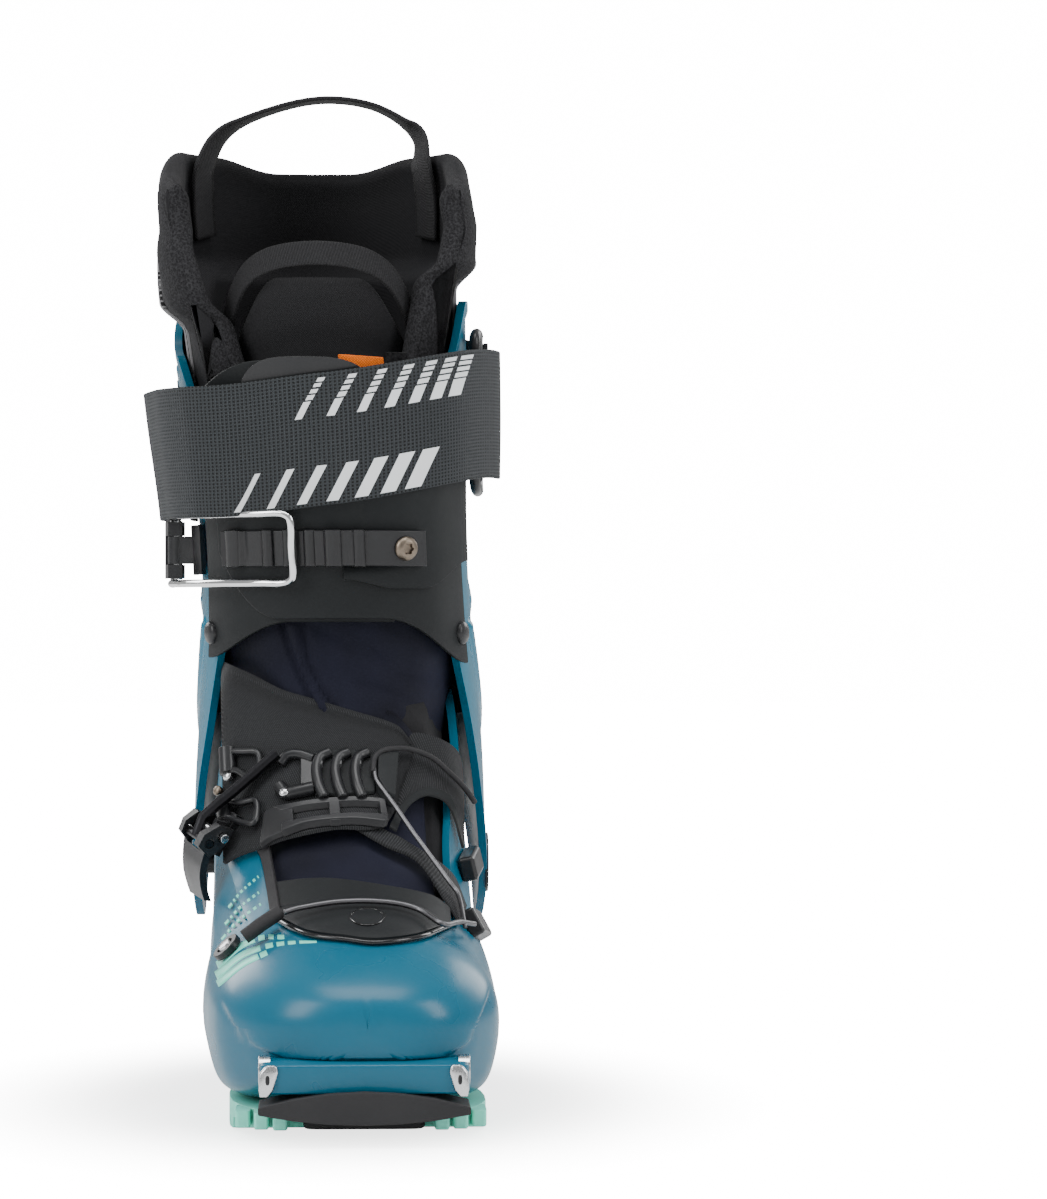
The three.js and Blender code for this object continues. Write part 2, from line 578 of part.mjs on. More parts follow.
// ---------------------------------------------------------------- instep buckle and its cable
const SLIDER = { y0: -97, y1: -83.5, a0: -27, a1: 25, low: FLAP_OVER[1] + GAP + 0.1, floor: 5.6, rib: 8.4 };
const RIBS = 3;
const ribHeight = (u) => {
  const phase = (u - 0.4) / 0.6 * RIBS;
  return u < 0.4 ? SLIDER.floor : mix(SLIDER.floor, SLIDER.rib,
    Math.sin(Math.PI * (phase - Math.floor(phase))) ** 0.5);
};
add('ribbed_slider', onInstep(footPad({ ...SLIDER, inside: SLIDER.low, outside: ribHeight, nu: 25,
  nv: 2 })), 'black');

const BUCKLE = footFrame(-90.5, -52, FLAP_OVER[1] + GAP);
const inBuckle = (solid) => placed(solid, BUCKLE);
const HINGE = { x: -3, z: 5.2, r: 1.6 };
const hingeRod = (radius, length) => rod(radius, length).translate([HINGE.x, 0, HINGE.z]);
const EAR = 2.2;
const earAt = (y) => prism([[-7, 0.4], [3, 0.4], [1.4, HINGE.z + 2.5], [-5, HINGE.z + 2.5]], -EAR / 2,
  EAR / 2)
  .rotate([90, 0, 0]).translate([0, y, 0]);
const BUCKLE_EARS = [-5.2, 5.2];
add('instep_buckle_base', inBuckle(BUCKLE_EARS.reduce((s, y) => s
  .add(earAt(y)), box(16, 13, 3.4).translate([-2, 0, 0.2]))
  .subtract(hingeRod(HINGE.r + GAP, 30))).subtract(flapLateral(GAP)), 'black');
add('instep_hinge_pin', inBuckle(hingeRod(HINGE.r, 26)
  .add(rod(2.6, 0.9).translate([HINGE.x, 13.4, HINGE.z]))), 'steel');

const CHEEK = { in: 7, out: 11 };
const cheek = (side) => prismY([[-11.4, 6], [-9.6, 12.2], [-5, 12.2], [0.4, 8.4], [1, 2.6], [-5, 2.6]],
  Math.min(side * CHEEK.in, side * CHEEK.out), Math.max(side * CHEEK.in, side * CHEEK.out));
const HANDLE_DROP = 13.6;
const handlePath = (u) => mix(-5.2, -31, u);
const leverHandle = sheet(8, 2,
  (u, v) => V(handlePath(u), mix(-11, 11, v) * mix(1, 0.62, u), HINGE.z + 3.8 - HANDLE_DROP * u ** 1.9),
  (u, v) => V(handlePath(u) + 0.6 * u, mix(-11, 11, v) * mix(1, 0.62, u),
    HINGE.z + 1 - HANDLE_DROP * u ** 1.9));
const ROD_PIN = { x: -7, z: HINGE.z + 3.4 };
const rodHole = rod(1.5 + GAP, 40).translate([ROD_PIN.x, 0, ROD_PIN.z]);
add('instep_lever', inBuckle(leverHandle.add(cheek(-1)).add(cheek(1))
  .subtract(box(22, 13.4, 30).translate([0, 0, HINGE.z]))
  .subtract(hingeRod(HINGE.r + GAP, 30)).subtract(rodHole)), 'black');

// The rod hangs on its own cross pin between the lever's cheeks and reaches over the slider's plate.
const rodStart = V(ROD_PIN.x, 0, ROD_PIN.z).applyMatrix4(BUCKLE);
const rodMiddle = V(HINGE.x + 1, 0, HINGE.z + HINGE.r + 3.2).applyMatrix4(BUCKLE);
const rodEnd = footPoint(-90.3, deg(-21), SLIDER.floor + 4.2);
add('instep_adjuster', inBuckle(rod(1.5, 21.6).translate([ROD_PIN.x, 0, ROD_PIN.z]))
  .add(tube([rodStart, rodMiddle, rodMiddle.clone().lerp(rodEnd, 0.5), rodEnd], 2.1, 6, 8)), 'black');

const GUIDES = {
  upper: { y: -86, angle: 70, size: [9, 17, 6], turn: 10, off: 2.2 },
  lower: { y: -124, angle: 60, size: [10, 19, 6], turn: -12, off: 0.5 },
};
const guideBody = ({ y, angle, size, turn,
  off }) => placed(box(...size).rotate([0, 0, turn]).translate([0, 0, size[2] / 2]),
  footFrame(y, angle, off));

const onFoot = ([y, angle, off]) => footPoint(y, deg(angle), off);
const CABLE_UPPER = [[-88, 25.9, 6.6], [-86, 34, 7], [-85, 46, 6.6], [-85.5, 58, 5.6], [-86, 63, 5.4]];
const CABLE_LOWER = [[-93, 25.9, 6.6], [-97, 32, 7], [-103, 40, 6], [-111, 48, 5], [-117, 54, 4.2]];
const CABLE_TOE = [[-131, 52, 4.6], [-135, 40, 5.2], [-137.5, 22, 5.2], [-138, 0, 5.2], [-138.5, -22, 5],
  [-140.5, -36, 5.8]];
add('cable_guide_upper', guideBody(GUIDES.upper), 'black');
add('cable_guide_lower', guideBody(GUIDES.lower), 'black');
const cable = (points, steps) => tube(points.map(onFoot), CABLE_R, steps, 6)
  .subtract(guideBody({ ...GUIDES.upper, size: GUIDES.upper.size.map((s) => s + GAP),
    off: GUIDES.upper.off - GAP / 2 }))
  .subtract(guideBody({ ...GUIDES.lower, size: GUIDES.lower.size.map((s) => s + GAP),
    off: GUIDES.lower.off - GAP / 2 }));
add('cable_slider_to_upper_guide', cable(CABLE_UPPER, 8), 'black');
add('cable_slider_to_lower_guide', cable(CABLE_LOWER, 9), 'black');
add('cable_over_toe', cable(CABLE_TOE, 14), 'black');
const SLEEVE = [[-140.9, -37.4, 6], [-144, -43, 6.2], [-148.5, -47, 5.4]];
add('cable_sleeve', tube(SLEEVE.map(onFoot), 2.6, 4, 8), 'rubber');
const anchorFrame = footFrame(-152.5, -53, 0.4);
add('cable_anchor', placed(turned([[0, 0], [5.4, 0], [5.4, 2.4], [3.2, 2.4], [3.2, 1.4], [0, 1.4]]),
  anchorFrame)
  .subtract(tube(SLEEVE.map(onFoot), 2.6 + GAP, 4, 8)), 'black');
add('cable_anchor_screw', placed(turned([[0, 1.7], [2.8, 1.7], [2.4, 3], [0, 3.2]], 12), anchorFrame),
  'steel');

// ---------------------------------------------------------------- ankle rivets, of the lower shell
for (const [side, name] of [[-1, 'lateral'], [1, 'medial']]) {
  const along = (x0, x1, r) => rodX(r, Math.min(side * x0, side * x1), Math.max(side * x0, side * x1), 0,
    PIVOT_Z);
  add(`ankle_rivet_${name}`, along(41.4, 42.6, 6).add(along(41.4, 56, PIVOT_PIN_R))
    .add(along(55.6, 57.8, PIVOT_CAP_R))
    .subtract(along(56.8, 60, 5)), 'black');
}

// ---------------------------------------------------------------- walk lock, on the shell's rear
const heelFace = (z, off) => HEEL_Y + off - ACHILLES_LEAN * Math.max(0, z - 62);
const lockSide = prismX([
  [heelFace(56, 0.4), 56], [heelFace(62, 0.4), 62], [heelFace(96, 0.4), 96],
  [heelFace(96, 2.6), 97], [heelFace(88, 3.4), 88], [heelFace(62, 3.4), 62], [heelFace(56, 3.4), 56],
], -9, 9);
const lockFront = prismY([[-8.6, 97], [8.6, 97], [6.6, 60], [3.6, 56], [-3.6, 56], [-6.6, 60]], 0, 120);
const LOCK_BOLT = { z: 65.5, y: heelFace(65.5, 3.4) };
add('walk_lock_plate', lockSide.intersect(lockFront)
  .subtract(alongY(rod(2 + GAP, 12).rotate([90, 0, 0]), LOCK_BOLT.y, LOCK_BOLT.z))
  .subtract(box(7, 12, 9).translate([0, heelFace(84, 2), 84])), 'steel');
add('walk_lock_bolt', alongY(screw(4.2, 2.4, 2, 2.4), LOCK_BOLT.y + 0.8, LOCK_BOLT.z), 'steel');

// ---------------------------------------------------------------- cuff
const CUFF_SPAN = 126;
const ARCH_Z = 133;
const TIP_Z = 60;
const CUFF_BACK_Z = 286;
const CUFF_HORN_Z = 294;
const CUFF_FRONT_Z = 262;
const away = (angle) => Math.abs(degrees(angle));

/** Lower edge of the cuff: an arch over the heel, round tips at the pivots and a rise to the front. */
function cuffLow(angle) {
  const a = away(angle);
  if (a < 62) return mix(ARCH_Z, 98, smooth(a, 8, 58));
  if (a < 84) return mix(98, TIP_Z, Math.sin(Math.PI / 2 * (a - 62) / 22));
  return mix(TIP_Z, 163, ((a - 84) / (CUFF_SPAN - 84)) ** 1.5);
}
const cuffHigh = (angle) => {
  const a = away(angle);
  return CUFF_BACK_Z + (CUFF_HORN_Z - CUFF_BACK_Z) * (smooth(a, 8, 34) - smooth(a, 48, 78))
    - (CUFF_BACK_Z - CUFF_FRONT_Z) * smooth(a, 100, CUFF_SPAN);
};
add('cuff_shell', legWall({ from: -CUFF_SPAN, to: CUFF_SPAN, low: cuffLow, high: cuffHigh,
  inside: -CUFF_T, outside: 0, nu: 36, nv: 7 }).subtract(pivotHole(PIVOT_PIN_R + GAP)), 'teal');

// The wraps close the cuff over the front: the medial one lies over the lateral one.
const wrapRise = (a) => smooth(a, 126, 156);
const WRAP_UNDER = { inside: GAP, outside: GAP + FLAP_T };
add('cuff_wrap_lateral', legWall({ from: 160, to: 240,
  low: (a) => mix(170, 157, smooth(degrees(a), 195, 240)),
  high: (a) => 250 + 12 * Math.sin(Math.PI * smooth(degrees(a), 165,
    236)) ** 0.5 - 8 * smooth(degrees(a), 228, 240),
  ...WRAP_UNDER, nu: 16, nv: 3 }), 'black');
const OVERLAP_OFF = WRAP_UNDER.outside + GAP + 0.2;
const medialOver = (t) => mix(GAP, OVERLAP_OFF, wrapRise(t));
add('cuff_wrap_medial', legWall({ from: 120, to: 222,
  low: (a) => mix(155, 171, smooth(degrees(a), 120, 165)) + 19 * smooth(degrees(a), 206, 222),
  high: () => 251, inside: (a) => medialOver(degrees(a)),
    outside: (a) => medialOver(degrees(a)) + FLAP_T, nu: 20, nv: 3 }), 'black');
const yokeOff = (a) => medialOver(degrees(a)) + FLAP_T + GAP;
add('cuff_yoke', legWall({ from: 119, to: 178,
  low: (a) => mix(192, 182, smooth(degrees(a), 119, 150)) + 3 * smooth(degrees(a), 162, 178),
  high: () => 249, inside: yokeOff, outside: (a) => yokeOff(a) + FLAP_T, nu: 12, nv: 2 })
  .subtract(placed(rod(1.7, 12).rotate([90, 0, 0]), legFrame(143, 198, 5))), 'black');

// ---------------------------------------------------------------- upper buckle
const BUCKLE_Z = 196;
const RACK = { from: 149.5, to: 222, tall: 12.5, plate: 164, teeth: 6 };
const rackSeat = (a) => mix(yokeOff(a) + FLAP_T + GAP, OVERLAP_OFF + FLAP_T + GAP,
  smooth(degrees(a), 180, 186));
function rackTop(a) {
  const t = degrees(a);
  if (t < RACK.plate) return rackSeat(a) + 2.6;
  const phase = (t - RACK.plate) / (RACK.to - RACK.plate) * RACK.teeth;
  return rackSeat(a) + mix(0.9, 2.3, 1 - (phase - Math.floor(phase)));
}
add('buckle_rack', legWall({ from: RACK.from, to: RACK.to, low: () => BUCKLE_Z - RACK.tall / 2,
  high: () => BUCKLE_Z + RACK.tall / 2,
  inside: rackSeat, outside: rackTop, nu: 40, nv: 1 }), 'black');
add('buckle_rack_screw', placed(turned([[0, 0], [4.2, 0], [4.2, 1], [2.8, 2], [0, 2.2]])
  .subtract(rod(1.6, 2.4, 6).rotate([90, 0, 0]).translate([0, 0, 2.2])),
    legFrame(158, BUCKLE_Z, rackTop(deg(158)) + GAP)), 'steel');

const PIN = { x: -59, y: -30, r: 1.6 };
const BAIL_PIN = { x: -61, y: -19 };
const upright = (radius, z0, z1, at, sides = 12) => rod(radius, z1 - z0,
  sides).rotate([90, 0, 0]).translate([at.x, at.y, (z0 + z1) / 2]);
const KNUCKLE = 5;
add('upper_buckle_base', legWall({ from: -114, to: -86, low: () => BUCKLE_Z - 9, high: () => BUCKLE_Z + 9,
  inside: GAP, outside: 2.2, nu: 5, nv: 1 })
  .add(upright(3.8, BUCKLE_Z - KNUCKLE, BUCKLE_Z + KNUCKLE, PIN, 16))
  .add(box(7, 8, 2 * KNUCKLE).translate([PIN.x + 4, PIN.y, BUCKLE_Z]))
  .subtract(legWall({ from: -130, to: -70, low: () => 150, high: () => 240, inside: -20, outside: GAP,
    nu: 16, nv: 2 }))
  .subtract(upright(PIN.r + GAP, 150, 250, PIN)), 'black');
const CHEEKS = [KNUCKLE + GAP, KNUCKLE + GAP + 5];
add('upper_hinge_pin', upright(PIN.r, BUCKLE_Z - CHEEKS[1] - 0.4, BUCKLE_Z + CHEEKS[1] + 0.4, PIN),
  'steel');

const leverOutline = [[-62.6, -33], [-57.4, -34], [-56.6, -28], [-59.2, -14], [-60.2, 4], [-60.2, 34],
  [-63, 35], [-65, 6], [-64.4, -16], [-63.6, -28]];
const leverSide = new THREE.Shape();
leverSide.moveTo(-36, BUCKLE_Z - CHEEKS[1]);
leverSide.lineTo(-10, BUCKLE_Z - CHEEKS[1]);
leverSide.quadraticCurveTo(20, 186, 37, 189);
leverSide.lineTo(37, 230);
leverSide.quadraticCurveTo(18, 214, -10, BUCKLE_Z + CHEEKS[1]);
leverSide.lineTo(-36, BUCKLE_Z + CHEEKS[1]);
const window = [[6, 196], [28, 194], [28, 218], [6, 206]];
add('upper_lever', prism(leverOutline, 150, 260).intersect(prismX(leverSide, -80, -40))
  .subtract(box(40, 22, 2 * CHEEKS[0]).translate([-60, -27, BUCKLE_Z]))
  .subtract(prismX(window, -80, -40))
  .subtract(upright(PIN.r + GAP, 150, 250, PIN))
    .subtract(upright(WIRE_R + GAP, 150, 250, BAIL_PIN)), 'black');

const BAIL_HALF = CHEEKS[1] + GAP + WIRE_R + 0.2;
const bailOff = (t) => mix(8.2, 7.8, smooth(t, 200, 240));
const bailSide = [195, 203, 212, 222, 232, 242, 250, 256].map((t) => [t, bailOff(t)]);
const bailAt = (z) => ([t, off]) => legPoint(deg(t), z, off);
const bailPath = [
  V(BAIL_PIN.x, BAIL_PIN.y, BUCKLE_Z + CHEEKS[0] + 0.6),
  V(BAIL_PIN.x, BAIL_PIN.y, BUCKLE_Z + BAIL_HALF - 1.2),
  V(BAIL_PIN.x, BAIL_PIN.y - 1.2, BUCKLE_Z + BAIL_HALF),
  V(BAIL_PIN.x - 0.6, BAIL_PIN.y - 6, BUCKLE_Z + BAIL_HALF),
  ...bailSide.slice().reverse().map(bailAt(BUCKLE_Z + BAIL_HALF)),
  bailAt(BUCKLE_Z + BAIL_HALF - 2)([192, 8.8]),
  bailAt(BUCKLE_Z)([192, 8.8]),
  bailAt(BUCKLE_Z - BAIL_HALF + 2)([192, 8.8]),
  ...bailSide.map(bailAt(BUCKLE_Z - BAIL_HALF)),
  V(BAIL_PIN.x - 0.6, BAIL_PIN.y - 6, BUCKLE_Z - BAIL_HALF),
  V(BAIL_PIN.x, BAIL_PIN.y - 1.2, BUCKLE_Z - BAIL_HALF),
  V(BAIL_PIN.x, BAIL_PIN.y, BUCKLE_Z - BAIL_HALF + 1.2),
  V(BAIL_PIN.x, BAIL_PIN.y, BUCKLE_Z - CHEEKS[0] - 0.6),
];
add('upper_bail', tube(bailPath, WIRE_R, 76, 6), 'steel');

// ---------------------------------------------------------------- power strap
const STRAP_LOW_Z = 213; // lower edge of the strap over the buckle
const STRAP_MID_Z = STRAP_LOW_Z + STRAP_W / 2;
const strapMid = (t) => (t < 256
  ? mix(STRAP_MID_Z + 9, STRAP_MID_Z, smooth(t, 104, 256))
  : mix(STRAP_MID_Z, 263, smooth(t, 282, 352)) - 14 * smooth(t, 378, 448));
const strapHalf = (t) => mix(STRAP_W / 2, 14.5, smooth(t, 300, 345) - smooth(t, 375, 430));
const strapOff = (t) => 7.4 + 5 * (smooth(t, 205, 228) - smooth(t, 232, 262)) - 1.4 * (1 - smooth(t, 104,
  125));
const strapPart = (from, to, off, nu) => legWall({ from, to,
  low: (a) => strapMid(degrees(a)) - strapHalf(degrees(a)),
    high: (a) => strapMid(degrees(a)) + strapHalf(degrees(a)),
  inside: (a) => off(degrees(a)), outside: (a) => off(degrees(a)) + STRAP_T, nu, nv: 1 });
const frontOff = (t) => mix(strapOff(t), 2.8, smooth(t, 252, 272));
add('power_strap_front', strapPart(104, 292, frontOff, 34), 'webbing');
add('power_strap_rear', strapPart(280, 448, (t) => 0.6 + 5.2 * smooth(t, 415, 446), 32), 'webbing');

const ringBar = (t, z) => legPoint(deg(t), z, 3.4);
const ringPath = new THREE.CatmullRomCurve3([
  [88.5, 226], [88.5, 268], [89.5, 272], [93, 274], [102, 274], [105.5, 272], [106.5, 268], [106.5, 224],
    [105.5, 220], [102, 218], [93, 218], [89.5, 221],
].map(([t, z]) => ringBar(t, z)), true);
add('strap_ring', solidOf(new THREE.TubeGeometry(ringPath, 36, 2, 6, true)), 'black');

const clipWall = (z0, z1, inside,
  outside) => legWall({ from: -11, to: 11, low: () => z0, high: () => z1, inside, outside, nu: 4, nv: 2 });
add('strap_clip', clipWall(250, 291, 2.6, 5.4).add(clipWall(287.6, 291, -4.9, 4))
  .add(clipWall(280, 291, -4.9, -CUFF_T - GAP)), 'black');

// ---------------------------------------------------------------- liner of the leg
const LINER_OUT = -CUFF_T - LINER_GAP;
const LINER_TOP_Z = 338;
const linerOff = (z) => mix(LINER_OUT, 2.5, smooth(z, 296, 306)) - 2 * smooth(z, 325, 342);
const LINER_ROWS = [116, 150, 185, 220, 250, 275, 296, 301, 306, 316, 327, LINER_TOP_Z];
const linerEdge = (z) => mix(mix(160, 148, smooth(z, 116, 227)), 112, smooth(z, 227, LINER_TOP_Z));
function linerWall(inside, outside) {
  const rows = LINER_ROWS.length - 1;
  const face = (side) => (u, v) => {
    const level = LINER_ROWS[Math.round(v * rows)];
    const angle = deg(mix(-1, 1, u) * linerEdge(level));
    const horn = 5 * (smooth(away(angle), 12, 40) - smooth(away(angle), 60, 112));
    return legPoint(angle, level + horn * smooth(level, 300, LINER_TOP_Z), linerOff(level) + side);
  };
  return sheet(32, rows, face(outside), face(inside));
}
add('liner_cuff', staysWithCuff(linerWall(-LINER_T, 0)), 'liner');

const TONGUE_OUT = LINER_OUT - LINER_T - 3;
const tongueTop = (a) => 292 - 26 * smooth(Math.abs(degrees(a) - 180), 20, 68);
add('liner_tongue', staysWithCuff(legWall({ from: 112, to: 248, low: () => 165, high: tongueTop,
  inside: TONGUE_OUT - 5, outside: TONGUE_OUT, nu: 16, nv: 4 })), 'liner');
add('tongue_tab', legWall({ from: 176, to: 194, low: () => 236, high: () => 261,
  inside: TONGUE_OUT + GAP, outside: TONGUE_OUT + GAP + 1.2, nu: 3, nv: 2 }), 'orange');

const loopEnd = (t, z, off) => legPoint(deg(t), z, off);
const rearLoopOff = (z) => linerOff(z) - LINER_T - 2.4;
const LOOP_T = 1.8;
const tangent = (t) => loopEnd(t + 1, 300, 0).sub(loopEnd(t - 1, 300, 0)).normalize();
const REAR_LOOP_AT = 52;
const rearLoop = [
  loopEnd(-REAR_LOOP_AT, 318, rearLoopOff(318)), loopEnd(-REAR_LOOP_AT, 332, rearLoopOff(332)),
    loopEnd(-REAR_LOOP_AT, 346, rearLoopOff(340)),
  V(-33, 2, 362), V(-8, 4, 372), V(17, 2, 362),
  loopEnd(REAR_LOOP_AT, 346, rearLoopOff(340)), loopEnd(REAR_LOOP_AT, 332, rearLoopOff(332)),
    loopEnd(REAR_LOOP_AT, 318, rearLoopOff(318)),
];
const rearAcross = rearLoop.map((_, i) => tangent(-REAR_LOOP_AT).lerp(tangent(REAR_LOOP_AT).negate(),
  smooth(i, 2, 6)));
add('rear_pull_loop', strap(rearLoop, rearAcross, 17, LOOP_T, 32), 'webbing');

const tongueLoopOff = TONGUE_OUT + 1.5;
const loopSide = [[121, 256, -0.2], [121.5, 266, -0.2], [126, 279, -0.3], [142, 292, 0.3], [160, 298, 2]];
const tongueLoop = [
  ...loopSide.map(([t, z, off]) => loopEnd(t, z, tongueLoopOff + off)),
  loopEnd(180, 300, tongueLoopOff + 3),
  ...loopSide.slice().reverse().map(([t, z, off]) => loopEnd(360 - t, z, tongueLoopOff + off)),
];
const down = V(0, 0, -1);
const tongueAcross = tongueLoop.map((_, i) => (i < 5
  ? tangent(122).lerp(down, smooth(i, 1, 4))
  : down.clone().lerp(tangent(238).negate(), smooth(i, 6, 9))));
add('tongue_pull_loop', strap(tongueLoop, tongueAcross, 8.5, 1.4, 32), 'webbing');

add('gaiter_cuff', staysWithCuff(legWall({ from: 129, to: 231, low: () => 140, high: () => 186,
  inside: -1.5, outside: 0, nu: 16, nv: 3 })), 'gaiter');

// ---------------------------------------------------------------- walk lever, on the cuff's rear
const wallY = (z, off) => legPoint(0, z, off).y;
const WALK_PIN = { y: 64, z: 174, r: 2 };
const EARS = [13, 15.5];
const channelSide = (z0, z1, thick) => prismX([
  ...Array.from({ length: 6 }, (_, i) => mix(z0, z1, i / 5)).map((z) => [wallY(z, GAP), z]),
  ...Array.from({ length: 6 }, (_, i) => mix(z1, z0, i / 5)).map((z) => [wallY(z, GAP + thick), z]),
], -EARS[1], EARS[1]);
const bracketEars = prismX([
  [wallY(188, 2), 188], [WALK_PIN.y + 2, 181], [WALK_PIN.y + 4.6, WALK_PIN.z + 2],
    [WALK_PIN.y + 4.6, WALK_PIN.z - 2],
  [WALK_PIN.y + 1, 166], [wallY(161, 2), 161], [wallY(161, GAP + 0.2), 161],
    [wallY(174, GAP + 0.2), 174], [wallY(188, GAP + 0.2), 188],
], -EARS[1], EARS[1]).subtract(box(2 * EARS[0], FAR, FAR));
const WALK_SCREWS = [[214, 'upper'], [190.5, 'lower']];
const flatBehind = legWall({ from: -40, to: 40, low: () => 155, high: () => 230, inside: -8,
  outside: GAP, nu: 24, nv: 8 });
const channel = WALK_SCREWS.reduce(
  (solid, [z]) => solid.subtract(alongY(rod(2 + GAP, 30).rotate([90, 0, 0]), wallY(z, 0), z)),
  channelSide(161, 188, 3).add(channelSide(187, 224,
    3.4).intersect(box(15, FAR, FAR).translate([0, 0, 200])))
    .add(bracketEars).subtract(flatBehind)
      .subtract(rodX(WALK_PIN.r + GAP, -40, 40, WALK_PIN.y, WALK_PIN.z, 16)));
add('walk_channel', channel, 'black');
for (const [z, name] of WALK_SCREWS) {
  add(`walk_screw_${name}`, alongY(screw(4, 2, 2, 2.6), wallY(z, 3.4 + 2 * GAP) + 0.8, z), 'steel');
}
const walkRod = (r, x0, x1) => rodX(r, x0, x1, WALK_PIN.y, WALK_PIN.z);
add('walk_pin', walkRod(WALK_PIN.r, -16, 16).add(walkRod(3.2, -17.4, -15.9))
  .add(walkRod(3.2, 15.9, 17.4)), 'steel');

const FORK = { out: 12.5, in: 6 };
const leverBack = [[64, 178.9], [60.9, 177.6], [59.6, 174], [61.5, 168], [63.6, 150], [66, 138],
  [70.8, 117], [77.6, 103], [78.6, 92], [78.6, 74.5]];
const leverFace = [[82.6, 74.5], [83.2, 92], [82.4, 102], [75.6, 121], [71.2, 138], [69.4, 150],
  [68.6, 168], [69.4, 174], [68.4, 178]];
const leverFront = new THREE.Shape();
leverFront.moveTo(-FORK.out, 185);
leverFront.lineTo(-FORK.out, 146);
leverFront.quadraticCurveTo(-FORK.out, 132, -6.2, 126);
leverFront.lineTo(-6.2, 70);
leverFront.lineTo(6.2, 70);
leverFront.lineTo(6.2, 126);
leverFront.quadraticCurveTo(FORK.out, 132, FORK.out, 146);
leverFront.lineTo(FORK.out, 185);
const crotch = new THREE.Shape();
crotch.moveTo(-FORK.in, 190);
crotch.lineTo(-FORK.in, 141);
crotch.quadraticCurveTo(0, 132, FORK.in, 141);
crotch.lineTo(FORK.in, 190);
add('walk_lever', prismX([...leverBack, ...leverFace], -20, 20).intersect(prismY(leverFront, 0, 120))
  .subtract(prismY(crotch, 0, 120)).subtract(walkRod(WALK_PIN.r + GAP, -40, 40)), 'steel');
const ROLLER = { y: 67.6, z: 144.6, r: 2.8 };
add('walk_roller', rodX(ROLLER.r, GAP - FORK.in, FORK.in - GAP, ROLLER.y, ROLLER.z, 16), 'steel');

class Coil extends THREE.Curve {
  constructor(bottom, top, radius, turns) {
    super();
    Object.assign(this, { bottom, top, radius, turns });
  }

  getPoint(t, target = V(0, 0, 0)) {
    const a = 2 * Math.PI * this.turns * t;
    return target.copy(this.bottom).lerp(this.top, t)
      .add(V(this.radius * Math.cos(a), this.radius * Math.sin(a), 0));
  }
}
const SPRING = { turns: 6, radius: 3, wire: 0.9, steps: 54 };
const springEnds = [V(0, ROLLER.y - 0.8, ROLLER.z + ROLLER.r + 1.4),
  V(0, WALK_PIN.y + 0.6, WALK_PIN.z - WALK_PIN.r - 1.4)];
const springRings = Array.from({ length: SPRING.steps + 1 }, (_, i) => {
  const coil = new Coil(...springEnds, SPRING.radius, SPRING.turns);
  const t = i / SPRING.steps;
  const a = 2 * Math.PI * SPRING.turns * t;
  const outward = V(Math.cos(a), Math.sin(a), 0);
  return Array.from({ length: 5 }, (_, k) => {
    const b = -2 * Math.PI * k / 5;
    return coil.getPoint(t).addScaledVector(outward, SPRING.wire * Math.cos(b))
      .add(V(0, 0, SPRING.wire * Math.sin(b)));
  });
});
add('walk_spring', loft(springRings), 'spring');
const PAD_RIBS = 5;
const padFace = Array.from({ length: 2 * PAD_RIBS + 1 },
  (_, i) => [i % 2 ? 87.2 : 85.8, mix(75, 89, i / (2 * PAD_RIBS))]);
add('walk_pull_pad', prismX([[83.5, 89], [82.9, 75], ...padFace], -6.3, 6.3), 'black');

export default boot;
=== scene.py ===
"""Alpine touring boot, right foot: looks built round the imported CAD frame."""
import json
import math

import bmesh
import bpy
import numpy as np
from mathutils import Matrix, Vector

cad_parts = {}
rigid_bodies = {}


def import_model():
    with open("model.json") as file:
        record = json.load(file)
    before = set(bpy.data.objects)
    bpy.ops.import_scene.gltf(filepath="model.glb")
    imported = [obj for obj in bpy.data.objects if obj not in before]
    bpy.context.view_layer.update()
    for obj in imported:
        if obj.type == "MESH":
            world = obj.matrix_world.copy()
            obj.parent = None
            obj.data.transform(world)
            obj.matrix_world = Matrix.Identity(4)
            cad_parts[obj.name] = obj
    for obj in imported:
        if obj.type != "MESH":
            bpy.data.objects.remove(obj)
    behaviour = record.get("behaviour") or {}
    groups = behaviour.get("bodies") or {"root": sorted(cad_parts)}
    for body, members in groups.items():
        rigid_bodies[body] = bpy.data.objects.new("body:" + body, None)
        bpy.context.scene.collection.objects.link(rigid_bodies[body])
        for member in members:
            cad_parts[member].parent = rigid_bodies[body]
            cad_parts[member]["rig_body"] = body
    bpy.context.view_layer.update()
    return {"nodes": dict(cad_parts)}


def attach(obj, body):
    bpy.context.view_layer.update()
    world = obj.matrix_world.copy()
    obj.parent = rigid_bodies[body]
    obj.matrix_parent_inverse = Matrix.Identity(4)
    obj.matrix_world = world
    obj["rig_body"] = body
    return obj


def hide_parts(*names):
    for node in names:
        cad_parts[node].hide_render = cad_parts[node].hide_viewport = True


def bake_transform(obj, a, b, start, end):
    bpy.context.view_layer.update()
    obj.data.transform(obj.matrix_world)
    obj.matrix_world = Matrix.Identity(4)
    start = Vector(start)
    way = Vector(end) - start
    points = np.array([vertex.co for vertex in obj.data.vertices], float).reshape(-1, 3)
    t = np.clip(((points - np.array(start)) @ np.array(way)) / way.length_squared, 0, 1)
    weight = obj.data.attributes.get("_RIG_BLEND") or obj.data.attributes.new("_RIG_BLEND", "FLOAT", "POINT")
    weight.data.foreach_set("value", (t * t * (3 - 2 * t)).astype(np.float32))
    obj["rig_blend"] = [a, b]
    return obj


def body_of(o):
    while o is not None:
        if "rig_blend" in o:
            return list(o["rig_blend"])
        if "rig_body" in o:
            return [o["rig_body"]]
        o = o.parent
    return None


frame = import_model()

MM = 0.001

